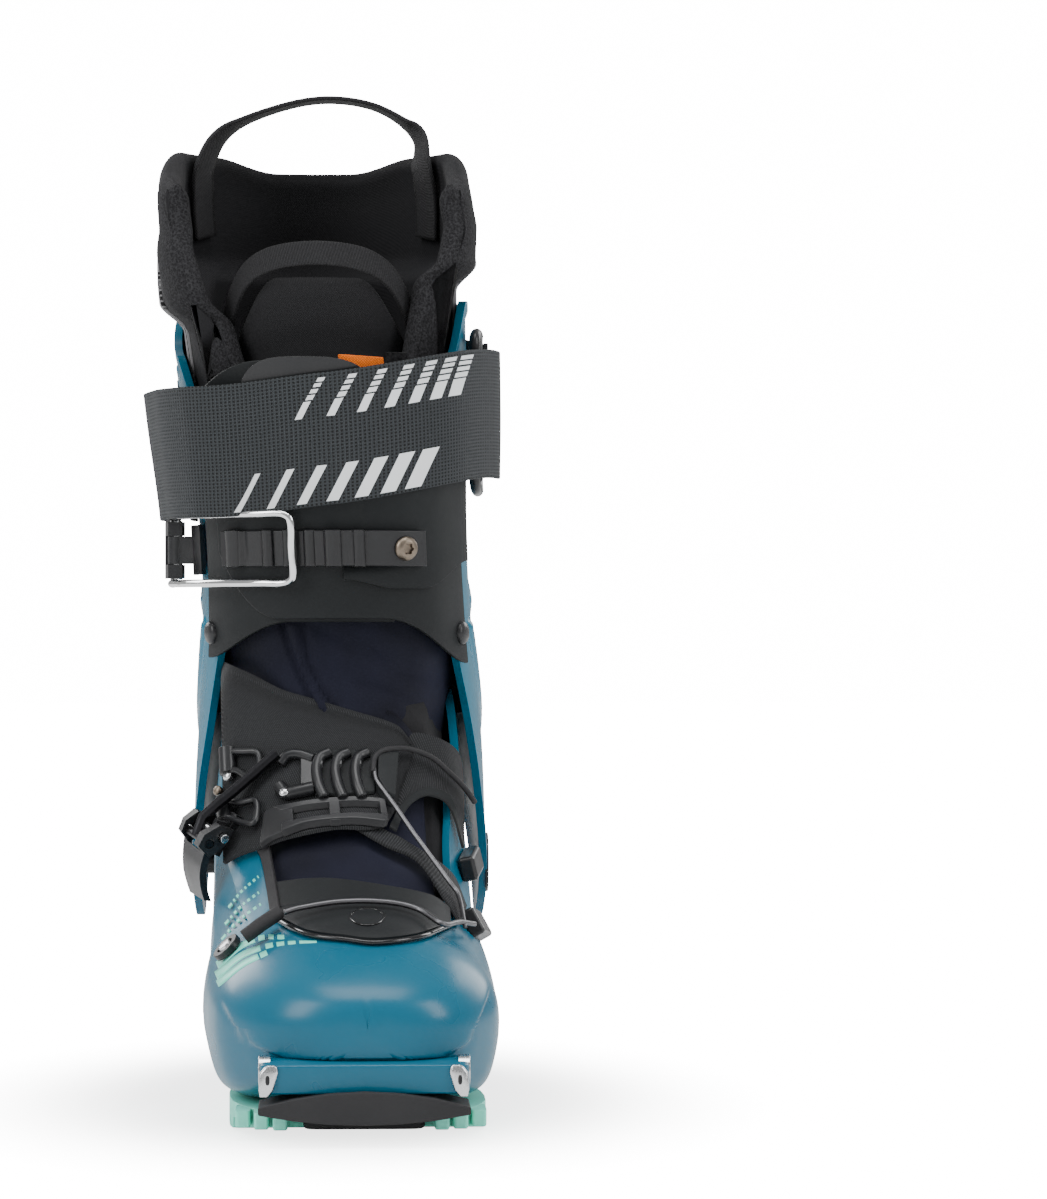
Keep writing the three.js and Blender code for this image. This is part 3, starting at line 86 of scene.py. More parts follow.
# ---- camera and lights
camera = bpy.data.objects.new("studio_camera", bpy.data.cameras.new("studio_camera"))
bpy.context.scene.collection.objects.link(camera)
camera.data.sensor_fit = "VERTICAL"
camera.data.sensor_height = 36.0
camera.data.lens = 132.7
camera.data.clip_end = 30.0
camera.location = (0.0, -1.65, 0.178)
camera.rotation_euler = (math.radians(90.0), 0.0, math.radians(-2.38))
bpy.context.scene.camera = camera


def soft_light(name, place, aim, size, power):
    """A square area light at a place, turned to face its aim."""
    light = bpy.data.objects.new(name, bpy.data.lights.new(name, "AREA"))
    bpy.context.scene.collection.objects.link(light)
    light.data.shape = "RECTANGLE"
    light.data.size, light.data.size_y = size
    light.data.energy = power
    light.location = place
    light.rotation_euler = (Vector(aim) - Vector(place)).to_track_quat("-Z", "Y").to_euler()
    return light


# ---- smooth tables, leg and foot surfaces
LEG = np.array([  # height, half width, rear, front, centre
    [52, 53, 55, -52, 0], [80, 55, 60, -62, 0], [110, 54.5, 64, -70, 0], [135, 53, 62.5, -77, 0],
    [170, 50.5, 56, -83, -1], [205, 50, 48, -88, -2.5], [245, 52.5, 38.5, -95, -5],
    [294, 54.5, 27, -104, -8], [345, 56, 16, -112, -10]], float)
LEG_SQUARE = 2.3
FOOT = np.array([  # y, half width, centre, top, height of full width, bottom share, top squareness
    [-212, 46, 9, 58, 36, 0.86, 2.4], [-180, 49.3, 6.5, 67, 36, 0.91, 2.4],
    [-155, 49.6, 4.2, 71.5, 36, 0.93, 2.3],
    [-128, 50, 3, 84, 38, 0.86, 2.2], [-106, 47.5, 2, 100, 44, 0.80, 2.2], [-92, 46.5, 1, 116, 50, 0.76, 2.3],
    [-84, 46, 1, 130, 54, 0.74, 2.4], [-76, 45.5, 0.5, 150, 58, 0.73, 2.6], [-60, 45, 0, 178, 60, 0.72, 3.2],
    [0, 46, 0, 182, 62, 0.68, 3.4], [40, 46, 0, 182, 62, 0.66, 3.2], [66, 44, 0, 176, 62, 0.66, 2.8]], float)
TOE_Y, HEEL_Y, SOLE_TOP = -212.0, 66.0, 10.3
LEAN = 0.17


def smooth(value, start, end):
    """0 before start, 1 after end, and a smooth S in between."""
    t = np.clip((np.asarray(value, float) - start) / (end - start), 0, 1)
    return t * t * (3 - 2 * t)


def mix(a, b, t):
    """From a at t = 0 to b at t = 1."""
    return a + (b - a) * t


def bell(value, centre, width):
    """A rounded hump: exp(-(distance / width) squared)."""
    return np.exp(-((np.asarray(value, float) - centre) / width) ** 2)


def curve_values(table, key):
    """Columns of a table at any key, on cubic curves whose slopes come from the neighbouring rows."""
    table = np.asarray(table, float)
    last = len(table) - 1
    k = np.clip(np.asarray(key, float), table[0, 0], table[last, 0])
    i = np.clip(np.searchsorted(table[:, 0], k, side="right") - 1, 0, last - 1)
    a, b = table[i], table[i + 1]
    before, after = table[np.maximum(i - 1, 0)], table[np.minimum(i + 2, last)]
    span = (b[..., 0] - a[..., 0])[..., None]
    t = ((k - a[..., 0]) / (b[..., 0] - a[..., 0]))[..., None]
    slope_a = (b - before)[..., 1:] / (b[..., :1] - before[..., :1]) * span
    slope_b = (after - a)[..., 1:] / (after[..., :1] - a[..., :1]) * span
    values = ((2 * t ** 3 - 3 * t ** 2 + 1) * a[..., 1:] + (t ** 3 - 2 * t ** 2 + t) * slope_a
              + (3 * t ** 2 - 2 * t ** 3) * b[..., 1:] + (t ** 3 - t ** 2) * slope_b)
    return np.moveaxis(values, -1, 0)


def squared(value, n):
    """A sine or cosine flattened towards a rectangle: sign times power 2 / n."""
    return np.sign(value) * np.abs(value) ** (2 / n)


def leg(angle, z, off=0.0):
    """The cuff's face: a flattened ellipse at each height, angle in degrees from the rear towards +X,
    off outside."""
    angle, z, off = np.broadcast_arrays(np.radians(angle), np.asarray(z, float), np.asarray(off, float))
    half, rear, front, centre = curve_values(LEG, z)
    x = centre + (half + off) * squared(np.sin(angle), LEG_SQUARE)
    y = (rear + front) / 2 + ((rear - front) / 2 + off) * squared(np.cos(angle), LEG_SQUARE)
    return np.stack([x, y, z], -1)


def end_round(y, off):
    """How much a section has closed towards the toe or the heel, and the height that it closes on."""
    toe = np.clip((y + 140) / (TOE_Y - off + 140), 0, 1)
    heel = np.clip((y - 8) / (HEEL_Y + off - 8), 0, 1)
    at_toe = y < -140
    return (np.where(at_toe, (1 - toe ** 2.7) ** (1 / 2.7), (1 - heel ** 2.6) ** (1 / 2.6)),
            np.where(at_toe, 38.0, 80.0))


def foot(y, angle, off=0.0, floor=SOLE_TOP):
    """The lower shell's face: sections across y, round above and flat below, angle in degrees from the
    top towards +X."""
    y, angle, off = np.broadcast_arrays(np.asarray(y, float), np.radians(angle), np.asarray(off, float))
    half, centre, top, wide, share, square = curve_values(FOOT, y)
    shut, close_z = end_round(y, off)
    up = np.cos(angle)
    reach = np.where(up > 0, top + off - wide, wide - floor)
    n = np.where(up > 0, square, 6.5)
    z = mix(close_z, wide + reach * squared(up, n), shut ** 0.8)
    narrow = mix(share, 1, smooth(z, floor, wide))
    lean = np.where(y > 0, LEAN * np.maximum(0, z - 62) * smooth(y, 0, 45), 0)
    return np.stack([centre + (half + off) * narrow * shut * squared(np.sin(angle), n), y - lean, z], -1)


def seen_from_front(x, z, off=0.0):
    """The (y, angle) of the foot's face whose x and z are given: Newton steps from the nearest of a
    coarse grid."""
    x, z = np.broadcast_arrays(np.asarray(x, float), np.asarray(z, float))
    ys, angles = np.meshgrid(np.linspace(-209, -50, 70), np.linspace(-88, 88, 71), indexing="ij")
    grid = foot(ys, angles, off)
    apart = (grid[..., 0].ravel() - x.ravel()[:, None]) ** 2 + (grid[..., 2].ravel() - z.ravel()[:, None]) ** 2
    best = np.argmin(apart, 1)
    y, a = ys.ravel()[best].reshape(x.shape), angles.ravel()[best].reshape(x.shape)
    for _ in range(8):
        p, py, pa = foot(y, a, off), foot(y + 0.2, a, off), foot(y, a + 0.2, off)
        jy, ja = (py - p) / 0.2, (pa - p) / 0.2
        det = jy[..., 0] * ja[..., 2] - ja[..., 0] * jy[..., 2]
        det = np.where(np.abs(det) < 1e-3, 1e-3, det)
        ex, ez = x - p[..., 0], z - p[..., 2]
        y = np.clip(y + np.clip((ex * ja[..., 2] - ez * ja[..., 0]) / det, -4, 4), -210.5, -50)
        a = np.clip(a + np.clip((ez * jy[..., 0] - ex * jy[..., 2]) / det, -5, 5), -89, 89)
    return y, a


# ---- meshes from arrays
def add_mesh(name, points, quads, finish, body, uv=None, sharp=None):
    """A mesh object from arrays of points in millimetres and of faces, turned outwards by its signed volume."""
    points = np.asarray(points, float).reshape(-1, 3)
    quads = np.asarray(quads, int)
    a, b, c, d = (points[quads[:, k]] for k in range(4))
    volume = np.einsum("ij,ij->", a, np.cross(b, c)) + np.einsum("ij,ij->", a, np.cross(c, d))
    if volume < 0:
        quads = quads[:, ::-1]
    mesh = bpy.data.meshes.new(name)
    mesh.vertices.add(len(points))
    mesh.vertices.foreach_set("co", (points * MM).astype(np.float32).ravel())
    mesh.loops.add(quads.size)
    mesh.loops.foreach_set("vertex_index", quads.astype(np.int32).ravel())
    mesh.polygons.add(len(quads))
    mesh.polygons.foreach_set("loop_start", np.arange(0, quads.size, 4, dtype=np.int32))
    mesh.update(calc_edges=True)
    if uv is not None:
        layer = mesh.uv_layers.new(name="lie")
        layer.data.foreach_set("uv", np.asarray(uv, np.float32).reshape(-1, 2)[quads.ravel()].ravel())
    work = bmesh.new()
    work.from_mesh(mesh)
    bmesh.ops.remove_doubles(work, verts=work.verts, dist=1e-6)
    bmesh.ops.dissolve_degenerate(work, edges=work.edges, dist=1e-7)
    bmesh.ops.delete(work, geom=[v for v in work.verts if not v.link_faces], context="VERTS")
    work.to_mesh(mesh)
    work.free()
    mesh.polygons.foreach_set("use_smooth", np.ones(len(mesh.polygons), bool))
    if sharp is not None:
        mesh.set_sharp_from_angle(angle=math.radians(sharp))
    piece = bpy.data.objects.new(name, mesh)
    bpy.context.scene.collection.objects.link(piece)
    mesh.materials.append(finish)
    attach(piece, body)
    return piece


def mark(piece, slot=None, node=None):
    """Hide the CAD node that a piece stands for; the material slot is not used."""
    if node:
        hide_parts(node)
    return piece


def lie_of(grid):
    """Distances along both directions of a grid, in millimetres, as its UV map."""
    along = np.concatenate([np.zeros((1, grid.shape[1])),
                            np.cumsum(np.linalg.norm(np.diff(grid, axis=0), axis=-1), 0)])
    across = np.concatenate([np.zeros((grid.shape[0], 1)),
                             np.cumsum(np.linalg.norm(np.diff(grid, axis=1), axis=-1), 1)], 1)
    return np.stack([along, across], -1)


def grid_faces(nu, nv, start=0, reverse=False):
    """Quads of a grid of nu by nv points, numbered from start."""
    i, j = np.meshgrid(np.arange(nu - 1), np.arange(nv - 1), indexing="ij")
    a = start + i * nv + j
    quads = np.stack([a, a + nv, a + nv + 1, a + 1], -1).reshape(-1, 4)
    return quads[:, ::-1] if reverse else quads


def wall_faces(nu, nv, start=0):
    """Quads of a closed wall between two grids of nu by nv points, the second numbered on from the first."""
    count = nu * nv
    edge = start + np.concatenate([np.arange(nu) * nv, (nu - 1) * nv + np.arange(1, nv),
                                   np.arange(nu - 2, -1, -1) * nv + nv - 1, np.arange(nv - 2, -1, -1)])
    a, b = edge[:-1], edge[1:]
    return np.concatenate([grid_faces(nu, nv, start), grid_faces(nu, nv, start + count, True),
                           np.stack([b, a, a + count, b + count], -1)])


def wall(name, outer, inner, finish, body, bevel=0.0):
    """A closed wall between two grids of points: both faces and the four edge strips."""
    quads = wall_faces(*outer.shape[:2])
    uv = np.concatenate([lie_of(outer).reshape(-1, 2), lie_of(outer).reshape(-1, 2)])
    piece = add_mesh(name, np.concatenate([outer.reshape(-1, 3), inner.reshape(-1, 3)]), quads,
                     finish, body, uv)
    if bevel:
        round_edges(piece, bevel)
    return piece


def round_edges(piece, width, angle=34):
    """Rounds the edges that are sharper than the angle."""
    bevel = piece.modifiers.new("rounded_edges", "BEVEL")
    bevel.width = width * MM
    bevel.segments = 2
    bevel.limit_method = "ANGLE"
    bevel.angle_limit = math.radians(angle)
    bevel.harden_normals = True


def ring_skin(name, rings, finish, body, closed_way=False, bevel=0.0, sharp=None):
    """Closed rings of points skinned one to the next, with a fan of quads over each end or joined round."""
    rings = np.asarray(rings, float)
    count, sides = rings.shape[:2]
    rows = np.arange(count if closed_way else count - 1)
    i, j = np.meshgrid(rows, np.arange(sides), indexing="ij")
    nxt = (i + 1) % count
    quads = [np.stack([i * sides + j, i * sides + (j + 1) % sides, nxt * sides + (j + 1) % sides,
                       nxt * sides + j], -1).reshape(-1, 4)]
    points = [rings.reshape(-1, 3)]
    lie = lie_of(np.concatenate([rings, rings[:, :1]], 1))[:, :-1].reshape(-1, 2)
    if not closed_way:
        for end, flip in ((0, True), (count - 1, False)):
            hub = count * sides + (0 if flip else 1)
            k = np.arange(0, sides, 2)
            fan = np.stack([np.full(len(k), hub), end * sides + k, end * sides + (k + 1) % sides,
                            end * sides + (k + 2) % sides], -1)
            quads.append(fan[:, ::-1] if flip else fan)
            points.append(rings[end].mean(0)[None])
            lie = np.concatenate([lie, lie[end * sides][None]])
    piece = add_mesh(name, np.concatenate(points), np.concatenate(quads), finish, body, lie, sharp)
    if bevel:
        round_edges(piece, bevel)
    return piece


def reach_of(points):
    """Distance along a line to each of its points."""
    return np.concatenate([[0], np.cumsum(np.linalg.norm(np.diff(points, axis=0), axis=1))])


def path_through(points, count):
    """A smooth line through points, its parameter the distance between them."""
    points = np.asarray(points, float)
    reach = reach_of(points)
    return curve_values(np.column_stack([reach, points]), np.linspace(0, reach[-1], count)).T


def carried_frames(path, first=(0.0, 0.0, 1.0)):
    """Two unit vectors across a path at each point, carried along it without twist."""
    tangent = np.gradient(path, axis=0)
    tangent /= np.linalg.norm(tangent, axis=1)[:, None]
    side = np.zeros_like(path)
    vector = np.asarray(first, float)
    for k, t in enumerate(tangent):
        vector = vector - t * vector.dot(t)
        vector = vector / np.linalg.norm(vector)
        side[k] = vector
    return tangent, side, np.cross(tangent, side)


def tube(name, points, radius, finish, body, count=80, sides=16, closed=False, first=(0.1, 0.2, 1.0),
         smooth_line=True):
    """A round tube carried along a smooth line; its radius may change along it."""
    path = path_through(points, count) if smooth_line else np.asarray(points, float)
    _, across, up = carried_frames(path, first)
    turn = np.linspace(0, 2 * np.pi, sides, endpoint=False)
    r = np.broadcast_to(np.asarray(radius, float), (len(path),))[:, None, None]
    rings = path[:, None] + r * (np.cos(turn)[None, :, None] * across[:, None]
                                 + np.sin(turn)[None, :, None] * up[:, None])
    return ring_skin(name, rings, finish, body, closed_way=closed)


def band(name, path, across, width, thick, finish, body):
    """Webbing carried along a path: a flat section with rounded edges, its width along the across vectors."""
    path = np.asarray(path, float)
    tangent = np.gradient(path, axis=0)
    tangent /= np.linalg.norm(tangent, axis=1)[:, None]
    side = across - tangent * np.sum(across * tangent, 1)[:, None]
    side /= np.linalg.norm(side, axis=1)[:, None]
    up = np.cross(tangent, side)
    turn = np.linspace(-np.pi / 2, np.pi / 2, 9)
    flat = np.linspace(0.5, -0.5, 11)[1:-1]
    edge = thick / 4
    half_w = width / 2 - edge
    right = np.stack([half_w + edge * np.cos(turn), thick / 2 * np.sin(turn)], -1)
    top = np.stack([2 * half_w * flat, np.full(len(flat), thick / 2)], -1)
    section = np.concatenate([right, top, -right, -top])
    rings = path[:, None] + section[None, :, :1] * side[:, None] + section[None, :, 1:] * up[:, None]
    return ring_skin(name, rings, finish, body)


def frame_on(point, du, dv, outward):
    """A frame on a surface as a 3 x 4 array: across, along, out and the place."""
    across = (du - point) / np.linalg.norm(du - point)
    out = np.cross(across, dv - point)
    out /= np.linalg.norm(out)
    if out @ outward < 0:
        out = -out
    return np.stack([across, np.cross(out, across), out, point])


def on_foot(y, angle, off):
    """The frame on the foot's face at a place."""
    p = foot(y, angle, off)
    return frame_on(p, foot(y, angle + 0.5, off), foot(y + 0.5, angle, off),
                    np.array([math.sin(math.radians(angle)), 0, math.cos(math.radians(angle))]))


def on_leg(angle, z, off):
    """The frame on the leg's face at a place."""
    p = leg(angle, z, off)
    return frame_on(p, leg(angle + 0.5, z, off), leg(angle, z + 0.5, off),
                    np.array([math.sin(math.radians(angle)), math.cos(math.radians(angle)), 0]))


def place(points, at):
    """Points of a small piece put into a frame."""
    return points @ at[:3] + at[3]


def along_y(y, z, x=0.0):
    """A frame whose outward direction is +Y."""
    return np.array([[1.0, 0, 0], [0, 0, -1.0], [0, 1.0, 0], [x, y, z]])


def turned(name, profile, at, finish, body, sides=48, wave=None):
    """A turned piece: a profile of (radius, height) carried round; wave may change the radius round a turn."""
    profile = np.asarray(profile, float)
    turn = np.linspace(0, 2 * np.pi, sides, endpoint=False)
    factor = np.ones((len(profile), sides)) if wave is None else wave(np.arange(len(profile))[:, None], turn[None])
    r = profile[:, :1] * factor
    rings = np.stack([r * np.cos(turn), r * np.sin(turn), np.broadcast_to(profile[:, 1:], r.shape)], -1)
    return ring_skin(name, place(rings, at), finish, body, sharp=40)


def screw_head(name, radius, height, at, finish, body):
    """A domed screw head with a six-lobed socket: the innermost rings wave in and out six times a turn."""
    r, h = radius, height
    lobes = lambda row, turn: np.where(row >= 7, 1 + 0.14 * np.cos(6 * turn), 1.0)
    profile = [[r * 0.7, -0.2], [r, 0.0], [r, h * 0.28], [r * 0.95, h * 0.5], [r * 0.82, h * 0.78],
               [r * 0.62, h * 0.95], [r * 0.52, h], [r * 0.44, h * 0.98], [r * 0.42, h * 0.9],
               [r * 0.4, h * 0.3], [r * 0.1, h * 0.25]]
    return turned(name, profile, at, finish, body, wave=lobes)


def from_cad(node, finish, bevel=0.35, angle=34):
    """A merged copy of a CAD node with rounded edges, standing for the node."""
    source = frame["nodes"][node]
    mesh = source.data.copy()
    work = bmesh.new()
    work.from_mesh(mesh)
    bmesh.ops.remove_doubles(work, verts=work.verts, dist=2e-6)
    bmesh.ops.dissolve_limit(work, angle_limit=math.radians(0.6), verts=work.verts, edges=work.edges)
    work.to_mesh(mesh)
    work.free()
    mesh.materials.clear()
    mesh.materials.append(finish)
    mesh.polygons.foreach_set("use_smooth", np.ones(len(mesh.polygons), bool))
    mesh.set_sharp_from_angle(angle=math.radians(angle))
    piece = bpy.data.objects.new(node + "_finished", mesh)
    bpy.context.scene.collection.objects.link(piece)
    if bevel:
        round_edges(piece, bevel, angle)
    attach(piece, body_of(source)[0])
    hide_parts(node)
    return piece


# ---- finishes
class Recipe:
    """A procedural material: adds nodes, links numbers, colours and sockets to them."""

    def __init__(self, name, color=(0.5, 0.5, 0.5), rough=0.5, metal=0.0, coat=0.0, specular=0.35):
        self.material = bpy.data.materials.new(name)
        self.material.use_nodes = True
        self.tree = self.material.node_tree
        self.shader = next(n for n in self.tree.nodes if n.type == "BSDF_PRINCIPLED")
        self.put(self.shader, Roughness=rough, Metallic=metal)
        self.shader.inputs["Base Color"].default_value = (*color, 1)
        self.shader.inputs["Coat Weight"].default_value = coat
        self.shader.inputs["Coat Roughness"].default_value = 0.12
        self.shader.inputs["Specular IOR Level"].default_value = specular
        self.material.diffuse_color = (*color, 1)

    def put(self, node, **inputs):
        for key, value in inputs.items():
            socket = node.inputs[key] if key in node.inputs else node.inputs[int(key.lstrip("_"))]
            if isinstance(value, bpy.types.NodeSocket):
                self.tree.links.new(value, socket)
            else:
                socket.default_value = value
        return node

    def add(self, kind, props=None, **inputs):
        node = self.tree.nodes.new(kind)
        for key, value in (props or {}).items():
            setattr(node, key, value)
        return self.put(node, **inputs)

    def own(self):
        """The piece's own coordinates, in metres."""
        return self.add("ShaderNodeTexCoord").outputs["Object"]

    def lie(self):
        """Distances along and across the piece, in millimetres."""
        return self.add("ShaderNodeUVMap", {"uv_map": "lie"}).outputs["UV"]

    def moved(self, vector, scale=(1, 1, 1), turn=(0, 0, 0), shift=(0, 0, 0)):
        return self.add("ShaderNodeMapping", None, Vector=vector, Scale=scale, Rotation=turn,
                        Location=shift).outputs["Vector"]

    def parts(self, vector):
        node = self.add("ShaderNodeSeparateXYZ", None, Vector=vector)
        return node.outputs["X"], node.outputs["Y"], node.outputs["Z"]

    def math(self, operation, a, b=0.0, c=0.0):
        return self.add("ShaderNodeMath", {"operation": operation}, _0=a, _1=b, _2=c).outputs["Value"]

    def noise(self, vector, scale, detail=2.0):
        return self.add("ShaderNodeTexNoise", None, Vector=vector, Scale=scale, Detail=detail).outputs["Fac"]

    def ramp(self, value, low, high, to_low=0.0, to_high=1.0):
        props = {"interpolation_type": "SMOOTHSTEP"}
        node = self.add("ShaderNodeMapRange", props, Value=value)
        self.put(node, **{"From Min": low, "From Max": high, "To Min": to_low, "To Max": to_high})
        return node.outputs["Result"]

    def blend(self, amount, a, b):
        """Colour a where the amount is 0 and colour b where it is 1."""
        node = self.add("ShaderNodeMix", {"data_type": "RGBA"})
        for key, value in (("Factor", amount), ("A", a), ("B", b)):
            kind = "VALUE" if key == "Factor" else "RGBA"
            socket = next(s for s in node.inputs if s.name == key and s.type == kind)
            if isinstance(value, bpy.types.NodeSocket):
                self.tree.links.new(value, socket)
            else:
                socket.default_value = value if key == "Factor" else (*value, 1)
        return next(s for s in node.outputs if s.type == "RGBA")

    def relief(self, height, depth, normal=None):
        """Bumps of a depth in millimetres where height goes from 0 to 1."""
        node = self.add("ShaderNodeBump", None, Height=height, Strength=1.0, Distance=depth * MM)
        if normal is not None:
            self.put(node, Normal=normal)
        return node.outputs["Normal"]

    def finish(self, **sockets):
        for key, value in sockets.items():
            self.put(self.shader, **{key.replace("_", " "): value})
        return self.material


def plastic(name, color, rough, grain=0.02, grain_scale=1800.0, coat=0.0, wear=0.08, specular=0.35):
    """Moulded plastic with a fine grain and slightly uneven gloss."""
    r = Recipe(name, color, rough, coat=coat, specular=specular)
    own = r.own()
    uneven = r.ramp(r.noise(own, 60.0, 3.0), 0.3, 0.7, rough - wear / 2, rough + wear / 2)
    tone = r.blend(r.ramp(r.noise(own, 14.0), 0.35, 0.65), [c * 0.9 for c in color],
                   [min(1, c * 1.1) for c in color])
    return r.finish(Normal=r.relief(r.noise(own, grain_scale), grain), Roughness=uneven, Base_Color=tone)


def teal_plastic():
    """Deep teal moulding with a soft gloss, painted lighter high up as light from above and darker towards the
    sole as shade.
    """
    r = Recipe("teal_moulding", (0.008, 0.13, 0.215), 0.3, coat=0.05, specular=0.3)
    own = r.own()
    _, _, z = r.parts(own)
    # painted light and shade: the teal runs from a darker shaded tone near the sole to a lighter lit tone higher
    # up
    tone = r.blend(r.ramp(z, 0.02, 0.16), (0.0025, 0.098, 0.165), (0.004, 0.135, 0.22))
    uneven = r.ramp(r.noise(own, 45.0, 3.0), 0.3, 0.7, 0.26, 0.34)
    fine = r.relief(r.noise(own, 900.0), 0.012)
    return r.finish(Base_Color=tone, Roughness=uneven, Normal=fine)


def woven(name, dark, light, pitch, depth, rough=0.85, slant=0.0):
    """Plain weave: over and under threads at a pitch in millimetres along and across."""
    r = Recipe(name, light, rough, specular=0.25)
    own = r.moved(r.lie(), (1 / pitch, 1 / pitch, 1), (0, 0, slant))
    u, v, _ = r.parts(own)
    wave_u = r.math("SINE", r.math("MULTIPLY", u, 2 * math.pi))
    wave_v = r.math("SINE", r.math("MULTIPLY", v, 2 * math.pi))
    threads = r.ramp(r.math("MULTIPLY", wave_u, wave_v), -0.6, 0.6)
    fuzz = r.noise(r.own(), 900.0, 3.0)
    tone = r.blend(r.math("MULTIPLY_ADD", threads, 0.7, r.math("MULTIPLY", fuzz, 0.3)), dark, light)
    return r.finish(Base_Color=tone, Normal=r.relief(threads, depth, r.relief(fuzz, 0.05)))


def navy_stretch():
    """Navy stretch fabric with a faint fine twill, lighter and darker in broad random patches."""
    r = Recipe("navy_stretch_fabric", (0.009, 0.010, 0.021), 0.75, specular=0.15)
    own = r.moved(r.own(), (1400.0, 1400.0, 1400.0), (0.3, 0.4, 0.7))
    twill = r.math("SINE", r.parts(own)[0])
    broad = r.noise(r.own(), 22.0, 3.0)
    tone = r.blend(r.ramp(broad, 0.3, 0.7), (0.0045, 0.005, 0.0105), (0.0095, 0.0105, 0.023))
    return r.finish(Base_Color=tone, Normal=r.relief(twill, 0.03, r.relief(r.noise(r.own(), 500.0, 3.0), 0.06)))


def knit():
    """Liner cover: rows of short dashes staggered row by row, on black."""
    r = Recipe("liner_knit", (0.012, 0.012, 0.013), 0.9, specular=0.2)
    u, v, _ = r.parts(r.lie())
    row = r.math("DIVIDE", v, 1.35)
    shift = r.math("MULTIPLY", r.math("FLOOR", row), 0.5)
    dash = r.math("PINGPONG", r.math("ADD", r.math("DIVIDE", u, 3.2), shift), 0.5)
    line = r.math("PINGPONG", row, 0.5)
    mark = r.math("MULTIPLY", r.ramp(dash, 0.1, 0.22), r.ramp(line, 0.12, 0.35))
    fuzz = r.noise(r.own(), 1400.0, 3.0)
    tone = r.blend(mark, (0.006, 0.006, 0.007), (0.026, 0.026, 0.028))
    return r.finish(Base_Color=tone, Normal=r.relief(mark, 0.25, r.relief(fuzz, 0.08)))


def fuzzy(name, color, depth=0.35, scale=420.0, rough=1.0):
    """Brushed pile: small curls in every direction, lighter on their tops."""
    r = Recipe(name, color, rough, specular=0.1)
    curls = r.add("ShaderNodeTexVoronoi", {"feature": "SMOOTH_F1"}, Vector=r.own(),
                  Scale=scale).outputs["Distance"]
    fuzz = r.noise(r.own(), scale * 2.2, 4.0)
    high = r.math("MULTIPLY_ADD", fuzz, 0.6, r.math("MULTIPLY", curls, 0.5))
    tone = r.blend(r.ramp(high, 0.3, 0.75), [c * 0.45 for c in color], [min(1, c * 1.7) for c in color])
    return r.finish(Base_Color=tone, Normal=r.relief(high, depth))


def stitched_piping():
    """Grey tape with two rows of dark stitches near its edges."""
    r = Recipe("grey_stitched_tape", (0.2, 0.2, 0.2), 0.85, specular=0.2)
    u, v, _ = r.parts(r.lie())
    dash = r.ramp(r.math("PINGPONG", r.math("DIVIDE", u, 2.4), 0.5), 0.14, 0.2)
    row = r.math("PINGPONG", v, 3.1)
    near = r.math("MULTIPLY", r.ramp(row, 0.75, 1.0), r.ramp(row, 1.7, 1.95, 1.0, 0.0))
    tone = r.blend(r.math("MULTIPLY", dash, near), (0.2, 0.2, 0.205), (0.012, 0.012, 0.013))
    grain = r.noise(r.own(), 1500.0)
    return r.finish(Base_Color=tone, Normal=r.relief(r.math("MULTIPLY", dash, near), -0.25,
                                                     r.relief(grain, 0.06)))


def ribbed_rubber():
    """Dark rubber with fine slanting ribs, painted darker in the grooves as shade and lighter on the rib tops as
    light.
    """
    r = Recipe("ribbed_flap_rubber", (0.02, 0.021, 0.023), 0.65, specular=0.2)
    u, _, _ = r.parts(r.moved(r.lie(), (1, 1, 1), (0, 0, math.radians(28))))
    ribs = r.ramp(r.math("SINE", r.math("MULTIPLY", u, 2 * math.pi / 0.85)), -0.4, 0.8)
    # painted light and shade: the colour follows the ribs, dark in the grooves and lighter on their tops
    tone = r.blend(ribs, (0.009, 0.0095, 0.0105), (0.026, 0.0275, 0.03))
    return r.finish(Base_Color=tone, Normal=r.relief(ribs, 0.12))


def strap_weave():
    """Dark grey open webbing: a grid of small dark holes between raised ribs."""
    r = Recipe("open_strap_webbing", (0.045, 0.05, 0.055), 0.75, specular=0.3)
    u, v, _ = r.parts(r.lie())
    hole_u = r.math("PINGPONG", r.math("DIVIDE", u, 1.62), 0.5)
    hole_v = r.math("PINGPONG", r.math("DIVIDE", v, 1.25), 0.5)
    hole = r.math("MULTIPLY", r.ramp(hole_u, 0.2, 0.34), r.ramp(hole_v, 0.16, 0.32))
    thread = r.math("SINE", r.math("MULTIPLY", u, 2 * math.pi / 0.78))
    tone = r.blend(hole, (0.034, 0.039, 0.043), (0.004, 0.0045, 0.005))
    shade = r.blend(r.ramp(thread, -1, 1), (0.75, 0.75, 0.75), (1, 1, 1))
    both = r.add("ShaderNodeMix", {"data_type": "RGBA", "blend_type": "MULTIPLY"})
    sockets = [s for s in both.inputs if s.type == "RGBA"]
    r.tree.links.new(tone, sockets[0])
    r.tree.links.new(shade, sockets[1])
    both.inputs[0].default_value = 1.0
    color = next(s for s in both.outputs if s.type == "RGBA")
    return r.finish(Base_Color=color, Normal=r.relief(hole, -0.3, r.relief(thread, 0.06)))


def metal(name, color, rough, scratch=0.12):
    """Bare or coated metal with faint handling scratches."""
    r = Recipe(name, color, rough, metal=1.0)
    stretched = r.moved(r.own(), (2200.0, 90.0, 1600.0), (0.2, 0.5, 0.3))
    lines = r.noise(stretched, 1.0, 2.0)
    return r.finish(Roughness=r.ramp(lines, 0.3, 0.7, max(0.02, rough - scratch / 2), rough + scratch / 2))


